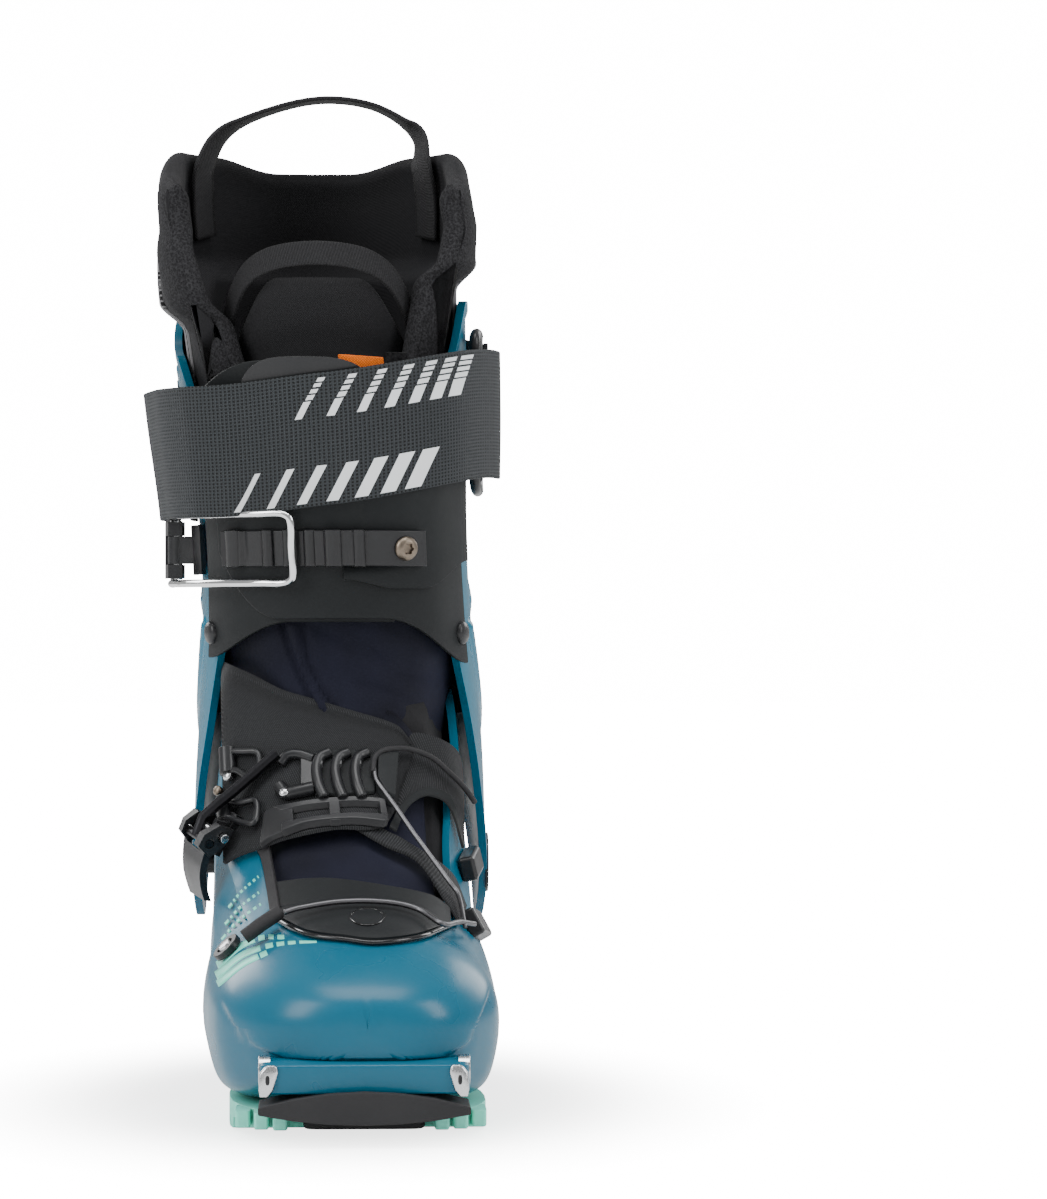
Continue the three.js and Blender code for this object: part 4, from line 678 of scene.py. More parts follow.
TEAL = teal_plastic()
# a matt, darker copy of the teal: painted shade for the heel's recessed panel
MATT_TEAL_PAINTED_SHADE = plastic("shaded_teal", (0.006, 0.085, 0.13), 0.5, 0.02, 1500.0)
MATT_BLACK = plastic("matt_black_plate", (0.011, 0.0125, 0.0135), 0.55, 0.03, 1500.0, specular=0.18)
SATIN_BLACK = plastic("satin_black_lever", (0.012, 0.0125, 0.014), 0.33, 0.012, 1500.0, 0.05)
MINT = plastic("mint_rubber", (0.2, 0.76, 0.6), 0.6, 0.03, 900.0)
MINT_MARK = plastic("mint_inlay", (0.17, 0.72, 0.56), 0.35, 0.01, 900.0)
RUBBER = plastic("black_rubber", (0.016, 0.016, 0.0175), 0.7, 0.04, 700.0)
GLOSS_TRIM = plastic("glossy_black_trim", (0.008, 0.008, 0.009), 0.18, 0.01, 900.0, 0.3)
RIBBED = ribbed_rubber()
NAVY = navy_stretch()
KNIT = knit()
SMOOTH_CLOTH = woven("smooth_black_cloth", (0.007, 0.007, 0.008), (0.018, 0.018, 0.02), 0.9, 0.06)
SIDE_CLOTH = woven("dark_side_cloth", (0.006, 0.006, 0.007), (0.013, 0.013, 0.015), 0.7, 0.05)
PILE = fuzzy("brushed_pile", (0.016, 0.016, 0.017), 0.35, 700.0)
BINDING_CLOTH = fuzzy("knitted_binding", (0.02, 0.02, 0.0215), 0.2, 1300.0)
PIPING = stitched_piping()
TAPE = woven("pull_tape", (0.009, 0.009, 0.01), (0.028, 0.028, 0.03), 1.1, 0.16)
STRAP = strap_weave()
WINDOW_MESH = woven("window_mesh", (0.002, 0.002, 0.002), (0.05, 0.053, 0.056), 3.4, 0.5)
STRAP_EDGE = woven("strap_edge_tape", (0.01, 0.011, 0.012), (0.034, 0.037, 0.04), 0.9, 0.1)
WHITE_BAR = plastic("white_print", (0.72, 0.74, 0.75), 0.55, 0.02, 900.0)
ORANGE = woven("orange_tab", (0.6, 0.1, 0.005), (0.9, 0.2, 0.01), 1.0, 0.12)
STEEL = metal("bright_steel", (0.62, 0.63, 0.64), 0.24)
MIRROR = metal("polished_wire", (0.72, 0.73, 0.74), 0.1, 0.05)
WORN = metal("worn_bronze_screw", (0.2, 0.165, 0.13), 0.42)
BRAID = metal("braided_cable", (0.13, 0.13, 0.137), 0.42)
GOLD = metal("straw_spring_wire", (0.62, 0.45, 0.2), 0.25)
BLACK_METAL = metal("black_coated_metal", (0.03, 0.03, 0.033), 0.38)

# ---- lower shell
SHELL_T, CUFF_T, FLAP_T, LINER_T, GAP = 3.0, 3.0, 1.8, 8.0, 0.3
def opening(y):
    """Half angle of the shell's opening at each y: the wider of the instep's plan and of the ankle
    walls' rim."""
    half, _, top, wide, _, square = curve_values(FOOT, y)
    plan = np.where(y < -130, 35 * np.sqrt(np.clip((y + 145.2) / 15.2, 0, 1)), mix(35, 39, (y + 130) / 60))
    a_plan = np.arcsin(np.clip(plan / half, 0, 1) ** (square / 2))
    rim = np.interp(y, [-98, -84, -70, -38, 2, 10, 22, 34, 42, 70],
                    [150, 136, 119, 146, 146, 128, 108, 99.5, 98, 98])
    shut, close_z = end_round(y, 0)
    raw = close_z + (rim - close_z) / shut ** 0.8
    share = np.clip((raw - wide) / (top - wide), 0, 1)
    a_rim = np.arccos(np.clip(share ** (square / 2), 0, 1))
    return np.degrees(np.where(y < -145.2, 0, np.maximum(np.where(y < -60, a_plan, 0),
                                                         np.where(y > -98, a_rim, 0))))


def crease_z(x):
    """Height of the crease round the toe, above the ledge over the toe block."""
    return np.interp(x, [-52, -42, -36, -29, -19, 8, 34, 43, 49, 56],
                     [70, 50, 38, 31.5, 28, 27, 28, 32, 45, 66])


def shell_relief(p):
    """Moulded detail of the shell: toe crease and ledge, centre line, heel panels and their rounded borders."""
    x, y, z = p[..., 0], p[..., 1], p[..., 2]
    toe = smooth(-y, 172, 190)
    under = smooth(crease_z(x) - z, -0.8, 1.2) * toe
    off = -1.7 * under
    off = off - 0.5 * bell(x - 9, 0, 0.5) * smooth(-y, 150, 165) * smooth(z, 28, 31)
    rear = smooth(y, 34, 50)
    u = np.abs(x)
    inside = smooth(u, 15, 18.5) * smooth(44 - u, 0, 3) * smooth(z, 46, 50) * smooth(94 - z, 0, 4)
    off = off + rear * (-1.6 * inside)
    side = smooth(u, 38, 42) * smooth(-y, -10, 10) * smooth(y, -130, -110)
    off = off + 0.9 * side * (smooth(z, 30, 34) * smooth(46 - z, 0, 4))
    return off


def lower_shell():
    """The shell as an open shoe: sections across y from toe to heel; each runs round from one rim of
    the opening to the other."""
    t = np.linspace(0, 1, 150)
    y = mix(TOE_Y, HEEL_Y, mix(t, (1 - np.cos(np.pi * t)) / 2, 0.85))
    y = np.unique(np.concatenate([y, -145.2 + 15.2 * np.linspace(0, 1, 14) ** 2, np.linspace(-2, 44, 30)]))
    y = y[np.concatenate([[True], np.diff(y) > 0.12])]
    y[-1] = HEEL_Y
    open_at = opening(y)
    share = np.linspace(0, 1, 168)
    spread = mix(open_at[:, None], 360 - open_at[:, None], share[None])
    a = np.radians(spread)
    angle = np.degrees(a + 0.4 * np.sin(2 * a))
    keep = open_at[:, None] + 0 * angle
    angle = np.clip(angle, keep, 360 - keep)
    angle[:, 0], angle[:, -1] = open_at, 360 - open_at
    base = foot(y[:, None], angle)
    outer = foot(y[:, None], angle, shell_relief(base))
    y_in = TOE_Y + SHELL_T + (y - TOE_Y) * (HEEL_Y - TOE_Y - 2 * SHELL_T) / (HEEL_Y - TOE_Y)
    inner = foot(y_in[:, None], angle, -SHELL_T, SOLE_TOP + 4)
    nu, nv = angle.shape
    count = nu * nv
    rows = np.flatnonzero(np.maximum(open_at[:-1], open_at[1:]) > 0)
    quads = [grid_faces(nu, nv), grid_faces(nu, nv, count, True)]
    a, b = rows * nv, (rows + 1) * nv
    quads.append(np.stack([a, b, b + count, a + count], -1))
    a, b = a + nv - 1, b + nv - 1
    quads.append(np.stack([b, a, a + count, b + count], -1))
    points = np.concatenate([outer.reshape(-1, 3), inner.reshape(-1, 3)])
    piece = add_mesh("shell_moulding", points, np.concatenate(quads), TEAL, "shell", sharp=50)
    return mark(piece, "teal_plastic", "lower_shell")


lower_shell()


def rounded_plan(cx, cy, hx, hy, n=6.0, count=72, hollow=0.0):
    """A rounded rectangle in plan: powers 2 / n of cosine and sine; hollow draws the -Y side in at its
    middle."""
    t = np.linspace(0, 2 * np.pi, count, endpoint=False)
    x, y = hx * squared(np.cos(t), n), hy * squared(np.sin(t), n)
    y = y + hollow * (1 - (x / hx) ** 2) * smooth(-y / hy, 0.6, 1.0)
    return cx + x, cy + y


def block(name, levels, finish, n=6.0, hollow=0.0):
    """A block skinned through rounded plans; each level is z, centre x, centre y, half width and half depth."""
    rings = []
    for z, cx, cy, hx, hy in levels:
        x, y = rounded_plan(cx, cy, hx, hy, n, hollow=hollow)
        rings.append(np.stack([x, y, np.full_like(x, z)], -1))
    return mark(ring_skin(name, rings, finish, "shell", bevel=0.7, sharp=35), "teal_plastic")


block("toe_block_moulding", [[17.5, 8, -201, 33.8, 15.6], [18.2, 8, -201, 34.4, 16], [26.6, 8, -201, 34.4, 16],
                             [27.4, 8, -200.6, 33.8, 15.3], [28.2, 8, -196, 31, 10]], TEAL, 7.0, 1.6)
block("heel_block_moulding", [[10.4, 0, 46, 30.2, 25.8], [11, 0, 46, 30.5, 26], [31, 0, 46, 30.5, 26],
                              [34, 0, 45.6, 29.6, 25.2], [39, 0, 42, 29.5, 24], [46, 0, 38, 30, 24]], TEAL, 9.0)

# ---- soles and fittings
def moved(node, change):
    """Apply a change of place, in millimetres, to the points of a finished part."""
    mesh = bpy.data.objects[node + "_finished"].data
    spots = np.zeros(len(mesh.vertices) * 3)
    mesh.vertices.foreach_get("co", spots)
    mesh.vertices.foreach_set("co", (change(spots.reshape(-1, 3) / MM) * MM).ravel())


for node, finish, width in (("forefoot_sole", MINT, 0.5), ("heel_sole", RUBBER, 0.5),
                            ("toe_bumper", RUBBER, 0.5), ("toe_insert_lateral", STEEL, 0.25),
                            ("toe_insert_medial", STEEL, 0.25), ("heel_insert", STEEL, 0.3),
                            ("boot_board", MATT_BLACK, 0.3), ("inner_boot_foot", SIDE_CLOTH, 0.0)):
    from_cad(node, finish, width)


def rocker(points):
    """The forefoot sole's tread rises towards the toe; its top stays where it is."""
    rise = 5.2 * np.clip((-148 - points[:, 1]) / 50, 0, 1) ** 1.6 * (1 - np.clip(points[:, 2], 0, 10) / 10)
    return points + np.stack([0 * rise, 0 * rise, rise], -1)


moved("forefoot_sole", rocker)
moved("heel_insert", lambda p: p + [0, 2.6, 0])
block("forefoot_centre_pad", [[4.6, 8, -188, 19.6, 15.2], [5.2, 8, -188, 20, 15.6],
                              [10.1, 8, -188, 20, 15.6]], RUBBER, 9.0)
for side in (-1, 1):
    for index in range(3):
        x = 8 + side * (25.5 + 6.2 * index) - (2 if side < 0 else 0)
        y = -194.5 + 2.6 * index ** 1.7
        block(f"forefoot_lug_{'lateral' if side < 0 else 'medial'}_{index + 1}",
              [[4.4, x, y, 2.2, 9], [5.0, x, y, 2.5, 9.4], [9.9, x, y, 2.5, 9.4]], MINT, 8.0)
for side, x in (("lateral", -23.0), ("medial", 38.6)):
    edge = -1 if side == "lateral" else 1
    block(f"toe_cup_{side}", [[16.8, x + edge * 1.6, -216.1, 1.3, 1.0], [19, x + edge * 0.9, -216.1, 2.4, 1.3],
                              [24.5, x, -216.1, 3.1, 1.3], [26.4, x - edge * 0.6, -216.0, 2.2, 1.2],
                              [27, x - edge * 0.8, -215.9, 1.4, 0.9]], STEEL, 3.0)
    # a black block stands in for the dark inside of the insert's pin hole: painted shade
    block(f"toe_cup_hole_shade_{side}", [[20.7, x + edge * 0.4, -216.3, 0.7, 1.25],
                                   [21.6, x + edge * 0.4, -216.3, 1.1, 1.3],
                                   [22.9, x + edge * 0.4, -216.3, 1.1, 1.3],
                                   [23.8, x + edge * 0.4, -216.3, 0.7, 1.25]], RUBBER, 2.4)
# the panel's darker teal is painted shade in the recess
block("heel_recess_panel", [[11.5, 0, 71.2, 19, 1.2], [31, 0, 71.2, 17, 1.2]], MATT_TEAL_PAINTED_SHADE, 9.0)
for side in (-1, 1):
    block(f"heel_gusset_{'lateral' if side < 0 else 'medial'}",
          [[11, side * 26.5, 68, 3.6, 6.4], [27, side * 25.5, 68.4, 3.4, 6.4],
           [33, side * 24.5, 66.5, 2.6, 5.0], [39, side * 23.5, 60, 2, 4]], TEAL, 5.0)


# ---- cuff
def cuff_low(a):
    """Lower edge of the cuff: an arch over the heel, round tips at the pivots and a rise to the front."""
    a = np.abs(a)
    tip = mix(98, 60, np.sin(np.pi / 2 * np.clip((a - 62) / 22, 0, 1)))
    rise = mix(60, 163, np.clip((a - 84) / 42, 0, 1) ** 1.5)
    return np.where(a < 62, mix(133, 98, smooth(a, 8, 58)), np.where(a < 84, tip, rise))


def cuff_high(a):
    """Upper edge of the cuff: low over the calf's middle, a horn at each side and a fall to the front."""
    lateral = 20 * smooth(-a, 64, 104)
    a = np.abs(a)
    return 286 + 8 * (smooth(a, 8, 34) - smooth(a, 48, 78)) - 24 * smooth(a, 100, 126) - lateral


RIBS = [[(37.2, 242), (15.6, 231.7)], [(73, 227.7), (42, 216), (13.4, 202.8)], [(67, 197.7), (22.6, 179.4)],
        [(15.4, 183.3), (28.2, 173.3), (48.4, 146.5), (68.6, 118.4)], [(48.4, 146.5), (26.9, 129.7)],
        [(48.4, 146.5), (84, 178)], [(68.6, 118.4), (88, 140), (104, 168)], [(67, 197.7), (84, 178)],
        [(73, 227.7), (88, 262)], [(37.2, 242), (46, 272)]]


def near_line(u, v, points):
    """Distance to a broken line in the (u, v) plane."""
    best = np.full(np.broadcast(u, v).shape, 1e9)
    for (u0, v0), (u1, v1) in zip(points[:-1], points[1:]):
        du, dv = u1 - u0, v1 - v0
        t = np.clip(((u - u0) * du + (v - v0) * dv) / (du * du + dv * dv), 0, 1)
        best = np.minimum(best, np.hypot(u - u0 - t * du, v - v0 - t * dv))
    return best


def cuff_relief(angle, z):
    """Raised ribs of the cuff's back and sides, a flat border at its edges and the ridge up its middle."""
    a = np.abs(angle)
    per_degree = 0.9
    height = np.zeros(np.broadcast(angle, z).shape)
    for line in RIBS:
        d = near_line(a * per_degree, z, [(p * per_degree, q) for p, q in line])
        height = np.maximum(height, 1 - smooth(d, 1.3, 3.4))
    border = 1 - smooth(np.minimum(z - cuff_low(angle), cuff_high(angle) - z), 3.4, 5.6)
    height = np.maximum(height, 0.75 * border)
    ridge = bell(a * per_degree, 0, 0.5) * smooth(z, 224, 228) * smooth(-z, -284, -278)
    column = (1 - smooth(a * per_degree, 9.0, 11.5)) * smooth(z, 150, 165) * smooth(-z, -236, -228)
    return 1.35 * np.maximum(height, 0.9 * column) + 0.35 * ridge - 1.0


def leg_wall(name, angles, low, high, inside, outside, finish, rows=30, bevel=0.5, node=None,
             slot=None, relief=None):
    """A curved wall on the leg between low(angle) and high(angle), from the inside to the outside offset."""
    angle = np.asarray(angles, float)[:, None]
    z = mix(low(angle), high(angle), np.linspace(0, 1, rows)[None])
    out = outside(angle, z) + (relief(angle, z) if relief else 0)
    return mark(wall(name, leg(angle, z, out), leg(angle, z, inside(angle, z)), finish, "cuff",
                     bevel), slot, node)


def flat(value):
    """The same value everywhere."""
    return lambda angle, z=None: value + 0 * angle if z is None else value + 0 * z


leg_wall("cuff_moulding", np.linspace(-126, 126, 330), cuff_low, cuff_high, flat(-CUFF_T), flat(0.0), TEAL,
         rows=150, bevel=0.7, node="cuff_shell", slot="teal_plastic", relief=cuff_relief)


def wrap_rise(a):
    return smooth(a, 126, 156)


def medial_over(a):
    return mix(GAP, 2.6, wrap_rise(a))


leg_wall("lateral_wrap_plate", np.linspace(160, 240, 90), lambda a: mix(170, 157, smooth(a, 195, 240)),
         lambda a: 250 + 12 * np.sin(np.pi * smooth(a, 165, 236)) ** 0.5 - 8 * smooth(a, 228, 240), flat(GAP),
         flat(GAP + FLAP_T), MATT_BLACK, rows=44, node="cuff_wrap_lateral", slot="black_plastic", bevel=0.6)
leg_wall("medial_wrap_plate", np.linspace(120, 227, 120),
         lambda a: mix(155, 171, smooth(a, 120, 165)) + 24 * np.clip((a - 199) / 28, 0, 1) ** 1.8, flat(251.0),
         lambda a, z: medial_over(a) + 0 * z, lambda a, z: medial_over(a) + FLAP_T + 0 * z, MATT_BLACK,
         rows=44, node="cuff_wrap_medial", slot="black_plastic", bevel=0.6)


def yoke_off(a):
    return medial_over(a) + FLAP_T + GAP


leg_wall("buckle_yoke_plate", np.linspace(119, 178, 90),
         lambda a: mix(192, 182, smooth(a, 119, 150)) + 3 * smooth(a, 162, 178), flat(249.0),
         lambda a, z: yoke_off(a) - 1.0 + 0 * z, lambda a, z: yoke_off(a) + FLAP_T - (FLAP_T + 0.7) * smooth(a,
             150, 177) * smooth(z, 186, 193), MATT_BLACK, rows=60, node="cuff_yoke",
         slot="black_plastic", bevel=0.5)

# ---- upper buckle
BUCKLE_Z = 196.0
for node, finish, width in (("buckle_rack", SATIN_BLACK, 0.35), ("upper_buckle_base", SATIN_BLACK, 0.4),
                            ("upper_hinge_pin", STEEL, 0.2), ("upper_lever", SATIN_BLACK, 0.6)):
    from_cad(node, finish, width)
rack_seat = mix(yoke_off(158.0) + FLAP_T + GAP, 2.6 + FLAP_T + GAP, smooth(158.0, 180, 186))
rack_screw = screw_head("rack_screw_head", 4.3, 2.2, on_leg(158, BUCKLE_Z,
                                                            float(rack_seat) + 2.9), WORN, "cuff")
mark(rack_screw, "steel", "buckle_rack_screw")

leg_wall("tongue_top_plate", np.linspace(164, 206, 60), flat(238.0),
         lambda a: 251 + 12 * np.clip(1 - (np.abs(a - 186) / 21) ** 3.0, 0, 1) ** 0.6, flat(4.2), flat(6.4),
         SATIN_BLACK, rows=24, slot="black_plastic", bevel=0.7)
leg_wall("pull_tab_cloth", np.linspace(161, 176, 20), flat(250.0), lambda a: 263.5 + 0.06 * (a - 170),
         flat(2.4), flat(3.9), ORANGE, rows=12, node="tongue_tab", slot="webbing", bevel=0.3)
leg_wall("tongue_pile_patch", np.linspace(150, 159, 16), flat(252.0), flat(265.0), flat(0.4), flat(1.8), PILE,
         rows=12, slot="liner_foam", bevel=0.3)

for name, angle in (("wrap_rivet_lateral", 237.0), ("wrap_rivet_medial", 124.0)):
    piece = turned(name, [[3.4, -1.5], [4.2, -0.6], [4.2, 0.3], [3.6, 1.1], [2.0, 1.5], [0.5, 1.6]],
                   on_leg(angle, 166, 2.4), SATIN_BLACK, "cuff", sides=28)

BAIL_HALF = 12.2
BAIL_X, BAIL_Y, CHEEK = -61.0, -19.0, 5.3


def bail_path():
    """Middle line of the bail, from its upper end in the lever's cheek round the front and back to its
    lower end."""
    sides = np.array([256, 250, 242, 232, 222, 212, 203, 195], float)
    off = mix(8.2, 7.8, smooth(sides, 200, 240))
    upper, lower = leg(sides, BUCKLE_Z + BAIL_HALF, off), leg(sides[::-1], BUCKLE_Z - BAIL_HALF, off[::-1])
    front = leg(np.full(3, 192.0), BUCKLE_Z + np.array([BAIL_HALF - 2, 0, 2 - BAIL_HALF]), 8.8)
    start = np.array([[BAIL_X, BAIL_Y, CHEEK + 0.6], [BAIL_X, BAIL_Y, BAIL_HALF - 1.2],
                      [BAIL_X, BAIL_Y - 1.2, BAIL_HALF], [BAIL_X - 0.6, BAIL_Y - 6, BAIL_HALF]])
    lift = np.array([0, 0, BUCKLE_Z])
    return np.concatenate([start + lift, upper, front, lower, start[::-1] * [1, 1, -1] + lift])


bail = tube("bail_wire", bail_path(), 1.4, MIRROR, "upper_bail", count=420, sides=18)
mark(bail, "steel", "upper_bail")

# ---- power strap, ring
STRAP_T, STRAP_W = 1.6, 46.0


def strap_mid(t):
    front = mix(245, 230, smooth(t, 104, 222))
    return np.where(t < 282, front, mix(236, 263, smooth(t, 282, 352)) - 14 * smooth(t, 378, 448))


def strap_half(t):
    return mix(STRAP_W / 2, 14.5, smooth(t, 300, 345) - smooth(t, 375, 430))


def strap_front_off(t):
    return 7.4 + 4.2 * smooth(t, 205, 228) - 1.2 * smooth(t, 236, 256) + 1.6 * smooth(t, 256,
        274) + 2.6 * (1 - smooth(t, 98, 120))


def strap_rear_off(t):
    return 0.6 + 5.2 * smooth(t, 415, 446)


def strap_piece(name, start, end, off, finish, node=None, half=1.0, columns=260):
    """Part of the strap between two angles; its width follows strap_half, its height strap_mid."""
    return leg_wall(name, np.linspace(start, end, columns), lambda t: strap_mid(t) - strap_half(t) * half,
                    lambda t: strap_mid(t) + strap_half(t) * half, lambda t, z: off(t) + 0 * z,
                    lambda t, z: off(t) + STRAP_T + 0 * z, finish, rows=26, bevel=0.4,
                    node=node, slot="webbing")


strap_piece("power_strap_front_web", 97, 277, strap_front_off, STRAP, "power_strap_front")
strap_piece("power_strap_rear_web", 262, 448, strap_rear_off, STRAP_EDGE, "power_strap_rear")
strap_piece("strap_pile_end", 258, 276.4, lambda t: strap_front_off(t) - 1.5, PILE, half=0.93, columns=40)


def strap_window(name, start, end, slant=3.5):
    """A mesh window set in the rear web: its ends lean with the height."""
    t = np.linspace(start, end, 24)[:, None]
    v = np.linspace(-0.7, 0.7, 20)[None]
    t = t + slant * v
    z = strap_mid(t) + strap_half(t) * v
    off = strap_rear_off(t)
    piece = wall(name, leg(t, z, off + STRAP_T + 0.22), leg(t, z, off + STRAP_T - 0.4),
                 WINDOW_MESH, "cuff", 0.1)


for index, (start, end) in enumerate([(283, 297), (301, 316), (320, 333), (337, 346), (376, 384),
                                      (388, 400), (405, 421)]):
    strap_window(f"strap_mesh_window_{index + 1}", start, end)


def rear_clip():
    """Flat hook over the strap at the back: a strip carried up over the strap with a double step near
    its top, turned in over the cuff's rim."""
    z = np.concatenate([[244], np.linspace(246, 276, 10), [278.2, 279.6, 281, 282.4, 284],
                        np.linspace(286, 296, 6)])
    off = np.interp(z, [244, 246, 276, 278.2, 279.6, 281, 282.4, 284, 292, 296],
                    [6.4, 7.2, 6.6, 5.6, 6.6, 5.6, 6.5, 5.4, 5.0, 3.8])
    half = np.interp(z, [244, 247, 292, 296], [8.6, 9.9, 9.9, 9.0])
    across = np.linspace(-1, 1, 15)
    t = np.degrees(np.arcsin(np.clip(half[:, None] * across[None] / 54, -1, 1)))
    height = z[:, None] + 0 * t
    piece = wall("strap_rear_clip", leg(t, height, off[:, None] - 0.25 * across[None] ** 6),
                 leg(t, height, off[:, None] - 2.0), SATIN_BLACK, "cuff", 0.45)
    mark(piece, "black_plastic", "strap_clip")


rear_clip()
ring_corners = [[88.5, 226], [88.5, 268], [89.5, 272], [93, 274], [102, 274], [105.5, 272], [106.5, 268],
                [106.5, 224], [105.5, 220], [102, 218], [93, 218], [89.5, 221], [88.5, 226]]
ring_line = path_through(leg(*np.array(ring_corners, float).T, 3.4), 120)[:-1]
ring = tube("strap_ring_wire", ring_line, 2.0, SATIN_BLACK, "cuff", sides=16, closed=True, smooth_line=False)
mark(ring, "black_plastic", "strap_ring")

# ---- liner of the leg
LINER_OUT = -CUFF_T - 2.4
LINER_TOP = 338.0


def liner_off(z, angle=0.0):
    """Offset of the liner's face: inside the cuff, swelling over its rim, lower down at the sides, and
    drawing in at the top."""
    z = z + 21 * smooth(-angle, 60, 96) + 6 * smooth(angle, 60, 96)
    return mix(LINER_OUT, 2.5, smooth(z, 296, 306)) - 2 * smooth(z, 325, 342)


def liner_edge(z):
    """Angle from the rear at which the liner's wall ends on both sides."""
    return mix(mix(88, 148, smooth(z, 130, 192)), 112, smooth(z, 227, LINER_TOP))


def front_fall(edge, z):
    """How far the top edge falls towards the liner's front corners."""
    return 14 * smooth(np.abs(edge), 66, 110) * smooth(z, 290, LINER_TOP)


def liner_body():
    """Padded wall: sections up the outside, round the top edge and down the inside, carried from one
    front edge to the other."""
    columns = np.linspace(-1, 1, 150)
    up = np.concatenate([np.linspace(136, 200, 16), np.linspace(206, 290, 22),
                         np.linspace(293, LINER_TOP - 4, 26)])
    closing = (1 - np.abs(columns) ** 40)[:, None]
    edge = columns[:, None] * liner_edge(up)[None]
    horn = 5 * (smooth(np.abs(edge), 12, 40) - smooth(np.abs(edge), 60, 112)) * smooth(up, 300, LINER_TOP)[None]
    puff = 0.5 * np.sin(up / 9.0 + np.radians(edge) * 2) * smooth(up, 300, 312)
    z = up[None] + horn - front_fall(edge, up[None])
    outer = leg(edge, z, liner_off(up[None], edge) + puff)
    inner = leg(edge, z, liner_off(up[None], edge) - LINER_T * closing)
    turn = np.linspace(0, np.pi, 12)[1:-1]
    top_outer, top_inner = outer[:, -1:], inner[:, -1:]
    middle, reach = (top_outer + top_inner) / 2, (top_outer - top_inner) / 2
    cap = middle + np.cos(turn)[None, :, None] * reach + np.array([0, 0, 1.0]) * 4 * np.sin(turn)[None, :, None]
    rings = np.concatenate([outer, cap, inner[:, ::-1]], 1)
    piece = ring_skin("liner_leg", rings, KNIT, "cuff")
    piece.data.materials.append(SMOOTH_CLOTH)
    piece.data.materials.append(SIDE_CLOTH)
    centre = np.zeros(len(piece.data.polygons) * 3, np.float32)
    piece.data.polygons.foreach_get("center", centre)
    x, y, zc = (centre.reshape(-1, 3) / MM).T
    a = np.degrees(np.arctan2(x + 8, y + 38))
    line = np.interp(np.abs(a), [0, 25, 48, 62, 72, 80, 90, 180], [304, 307, 314, 316, 311, 296, 255, 255])
    normal = np.zeros(len(piece.data.polygons) * 3, np.float32)
    piece.data.polygons.foreach_get("normal", normal)
    nx, ny, _ = normal.reshape(-1, 3).T
    inside = nx * (x + 8) + ny * (y + 38) < 0
    index = np.where(inside, 1, np.where(np.abs(a) > 74, 2, np.where(zc < line, 1, 0)))
    piece.data.polygons.foreach_set("material_index", index.astype(np.int32))
    mark(piece, "liner_foam", "liner_cuff")
    return piece


liner_body()

piping_way = path_through([[104, 243], [101, 262], [95, 282], [84, 300], [71, 311], [60, 316.5], [47, 314.5],
                           [25, 307.5], [5, 304], [-15, 305.5], [-35, 311], [-50, 315.5], [-62, 316],
                           [-73, 311], [-84, 300], [-95, 282], [-101, 262], [-104, 243]], 200)


def piping_band():
    """Grey tape sewn over the liner's back: its middle line in angle and height, its width square to
    that line."""
    angle, z = piping_way[:, 0], piping_way[:, 1]
    da, dz = np.gradient(angle) * 0.92, np.gradient(z)
    length = np.hypot(da, dz)
    across = np.linspace(-3.1, 3.1, 9)
    a = angle[:, None] + across[None] * (dz / length)[:, None] / 0.92
    h = z[:, None] - across[None] * (da / length)[:, None]
    dome = 1.0 - 0.5 * (across[None] / 3.1) ** 4
    return mark(wall("liner_back_tape", leg(a, h, liner_off(h, a) + 0.35 + dome),
                     leg(a, h, liner_off(h, a) - 1.0), PIPING, "cuff"), "liner_foam")


piping_band()


def edge_binding(side):
    """Knitted binding folded over the liner's front edge: flat oval sections carried up the edge and
    over its top."""
    z = np.linspace(200, LINER_TOP + 2, 60)
    a = side * (liner_edge(z) - 1.0)
    widen = mix(9.0, 16.0, smooth(z, 250, 300)) * (1 - 0.3 * smooth(z, 322, 340)) * (1 + 0.03 * np.sin(z / 1.3))
    turn = np.linspace(0, 2 * np.pi, 28, endpoint=False)
    thick = (LINER_T / 2 + 1.3) * np.where(z > LINER_TOP - 4,
                                           np.sqrt(np.clip(1 - ((z - LINER_TOP + 4) / 6.2) ** 2, 0.02, 1)), 1)
    off = liner_off(z, a)[:, None] - LINER_T / 2 + thick[:, None] * squared(np.sin(turn), 3.2)[None]
    angle = a[:, None] + side * (squared(np.cos(turn), 2.6)[None] - 0.75) * (widen / 0.98)[:, None] * 0.9
    return mark(ring_skin("liner_edge_binding_" + ("medial" if side > 0 else "lateral"),
                          leg(angle, z[:, None] - front_fall(angle, z[:, None]), off), BINDING_CLOTH,
                          "cuff"), "liner_foam")


edge_binding(1)
edge_binding(-1)

TONGUE_OUT = LINER_OUT - LINER_T - 3


def tongue():
    """Tongue: a padded sheet behind the wraps whose top edge falls to both sides; its rims close to a
    thin edge."""
    a = np.linspace(112, 248, 80)[:, None]
    v = np.linspace(0, 1, 50)[None]
    z = mix(172, 292 - 26 * smooth(np.abs(a - 180), 20, 68), v)
    rim = np.minimum((1 - v) * 24, 1.0) ** 0.5 * np.minimum((1 - np.abs(a - 180) / 68.001) * 12, 1.0) ** 0.5
    fold = 0.7 * bell(z - 262 - 8 * np.cos(np.radians(a - 180) * 2), 0, 5)
    outer = leg(a, z, TONGUE_OUT - 2.5 + 2.5 * rim - fold)
    inner = leg(a, z, TONGUE_OUT - 2.5 - 2.5 * rim)
    piece = wall("liner_tongue_pad", outer, inner, SMOOTH_CLOTH, "cuff")
    mark(piece, "liner_foam", "liner_tongue")
    return piece


tongue()


def way_round(angle, z=300.0):
    """Unit vector along the leg's outline."""
    d = leg(angle + 1, z, 0) - leg(angle - 1, z, 0)
    return d / np.linalg.norm(d)


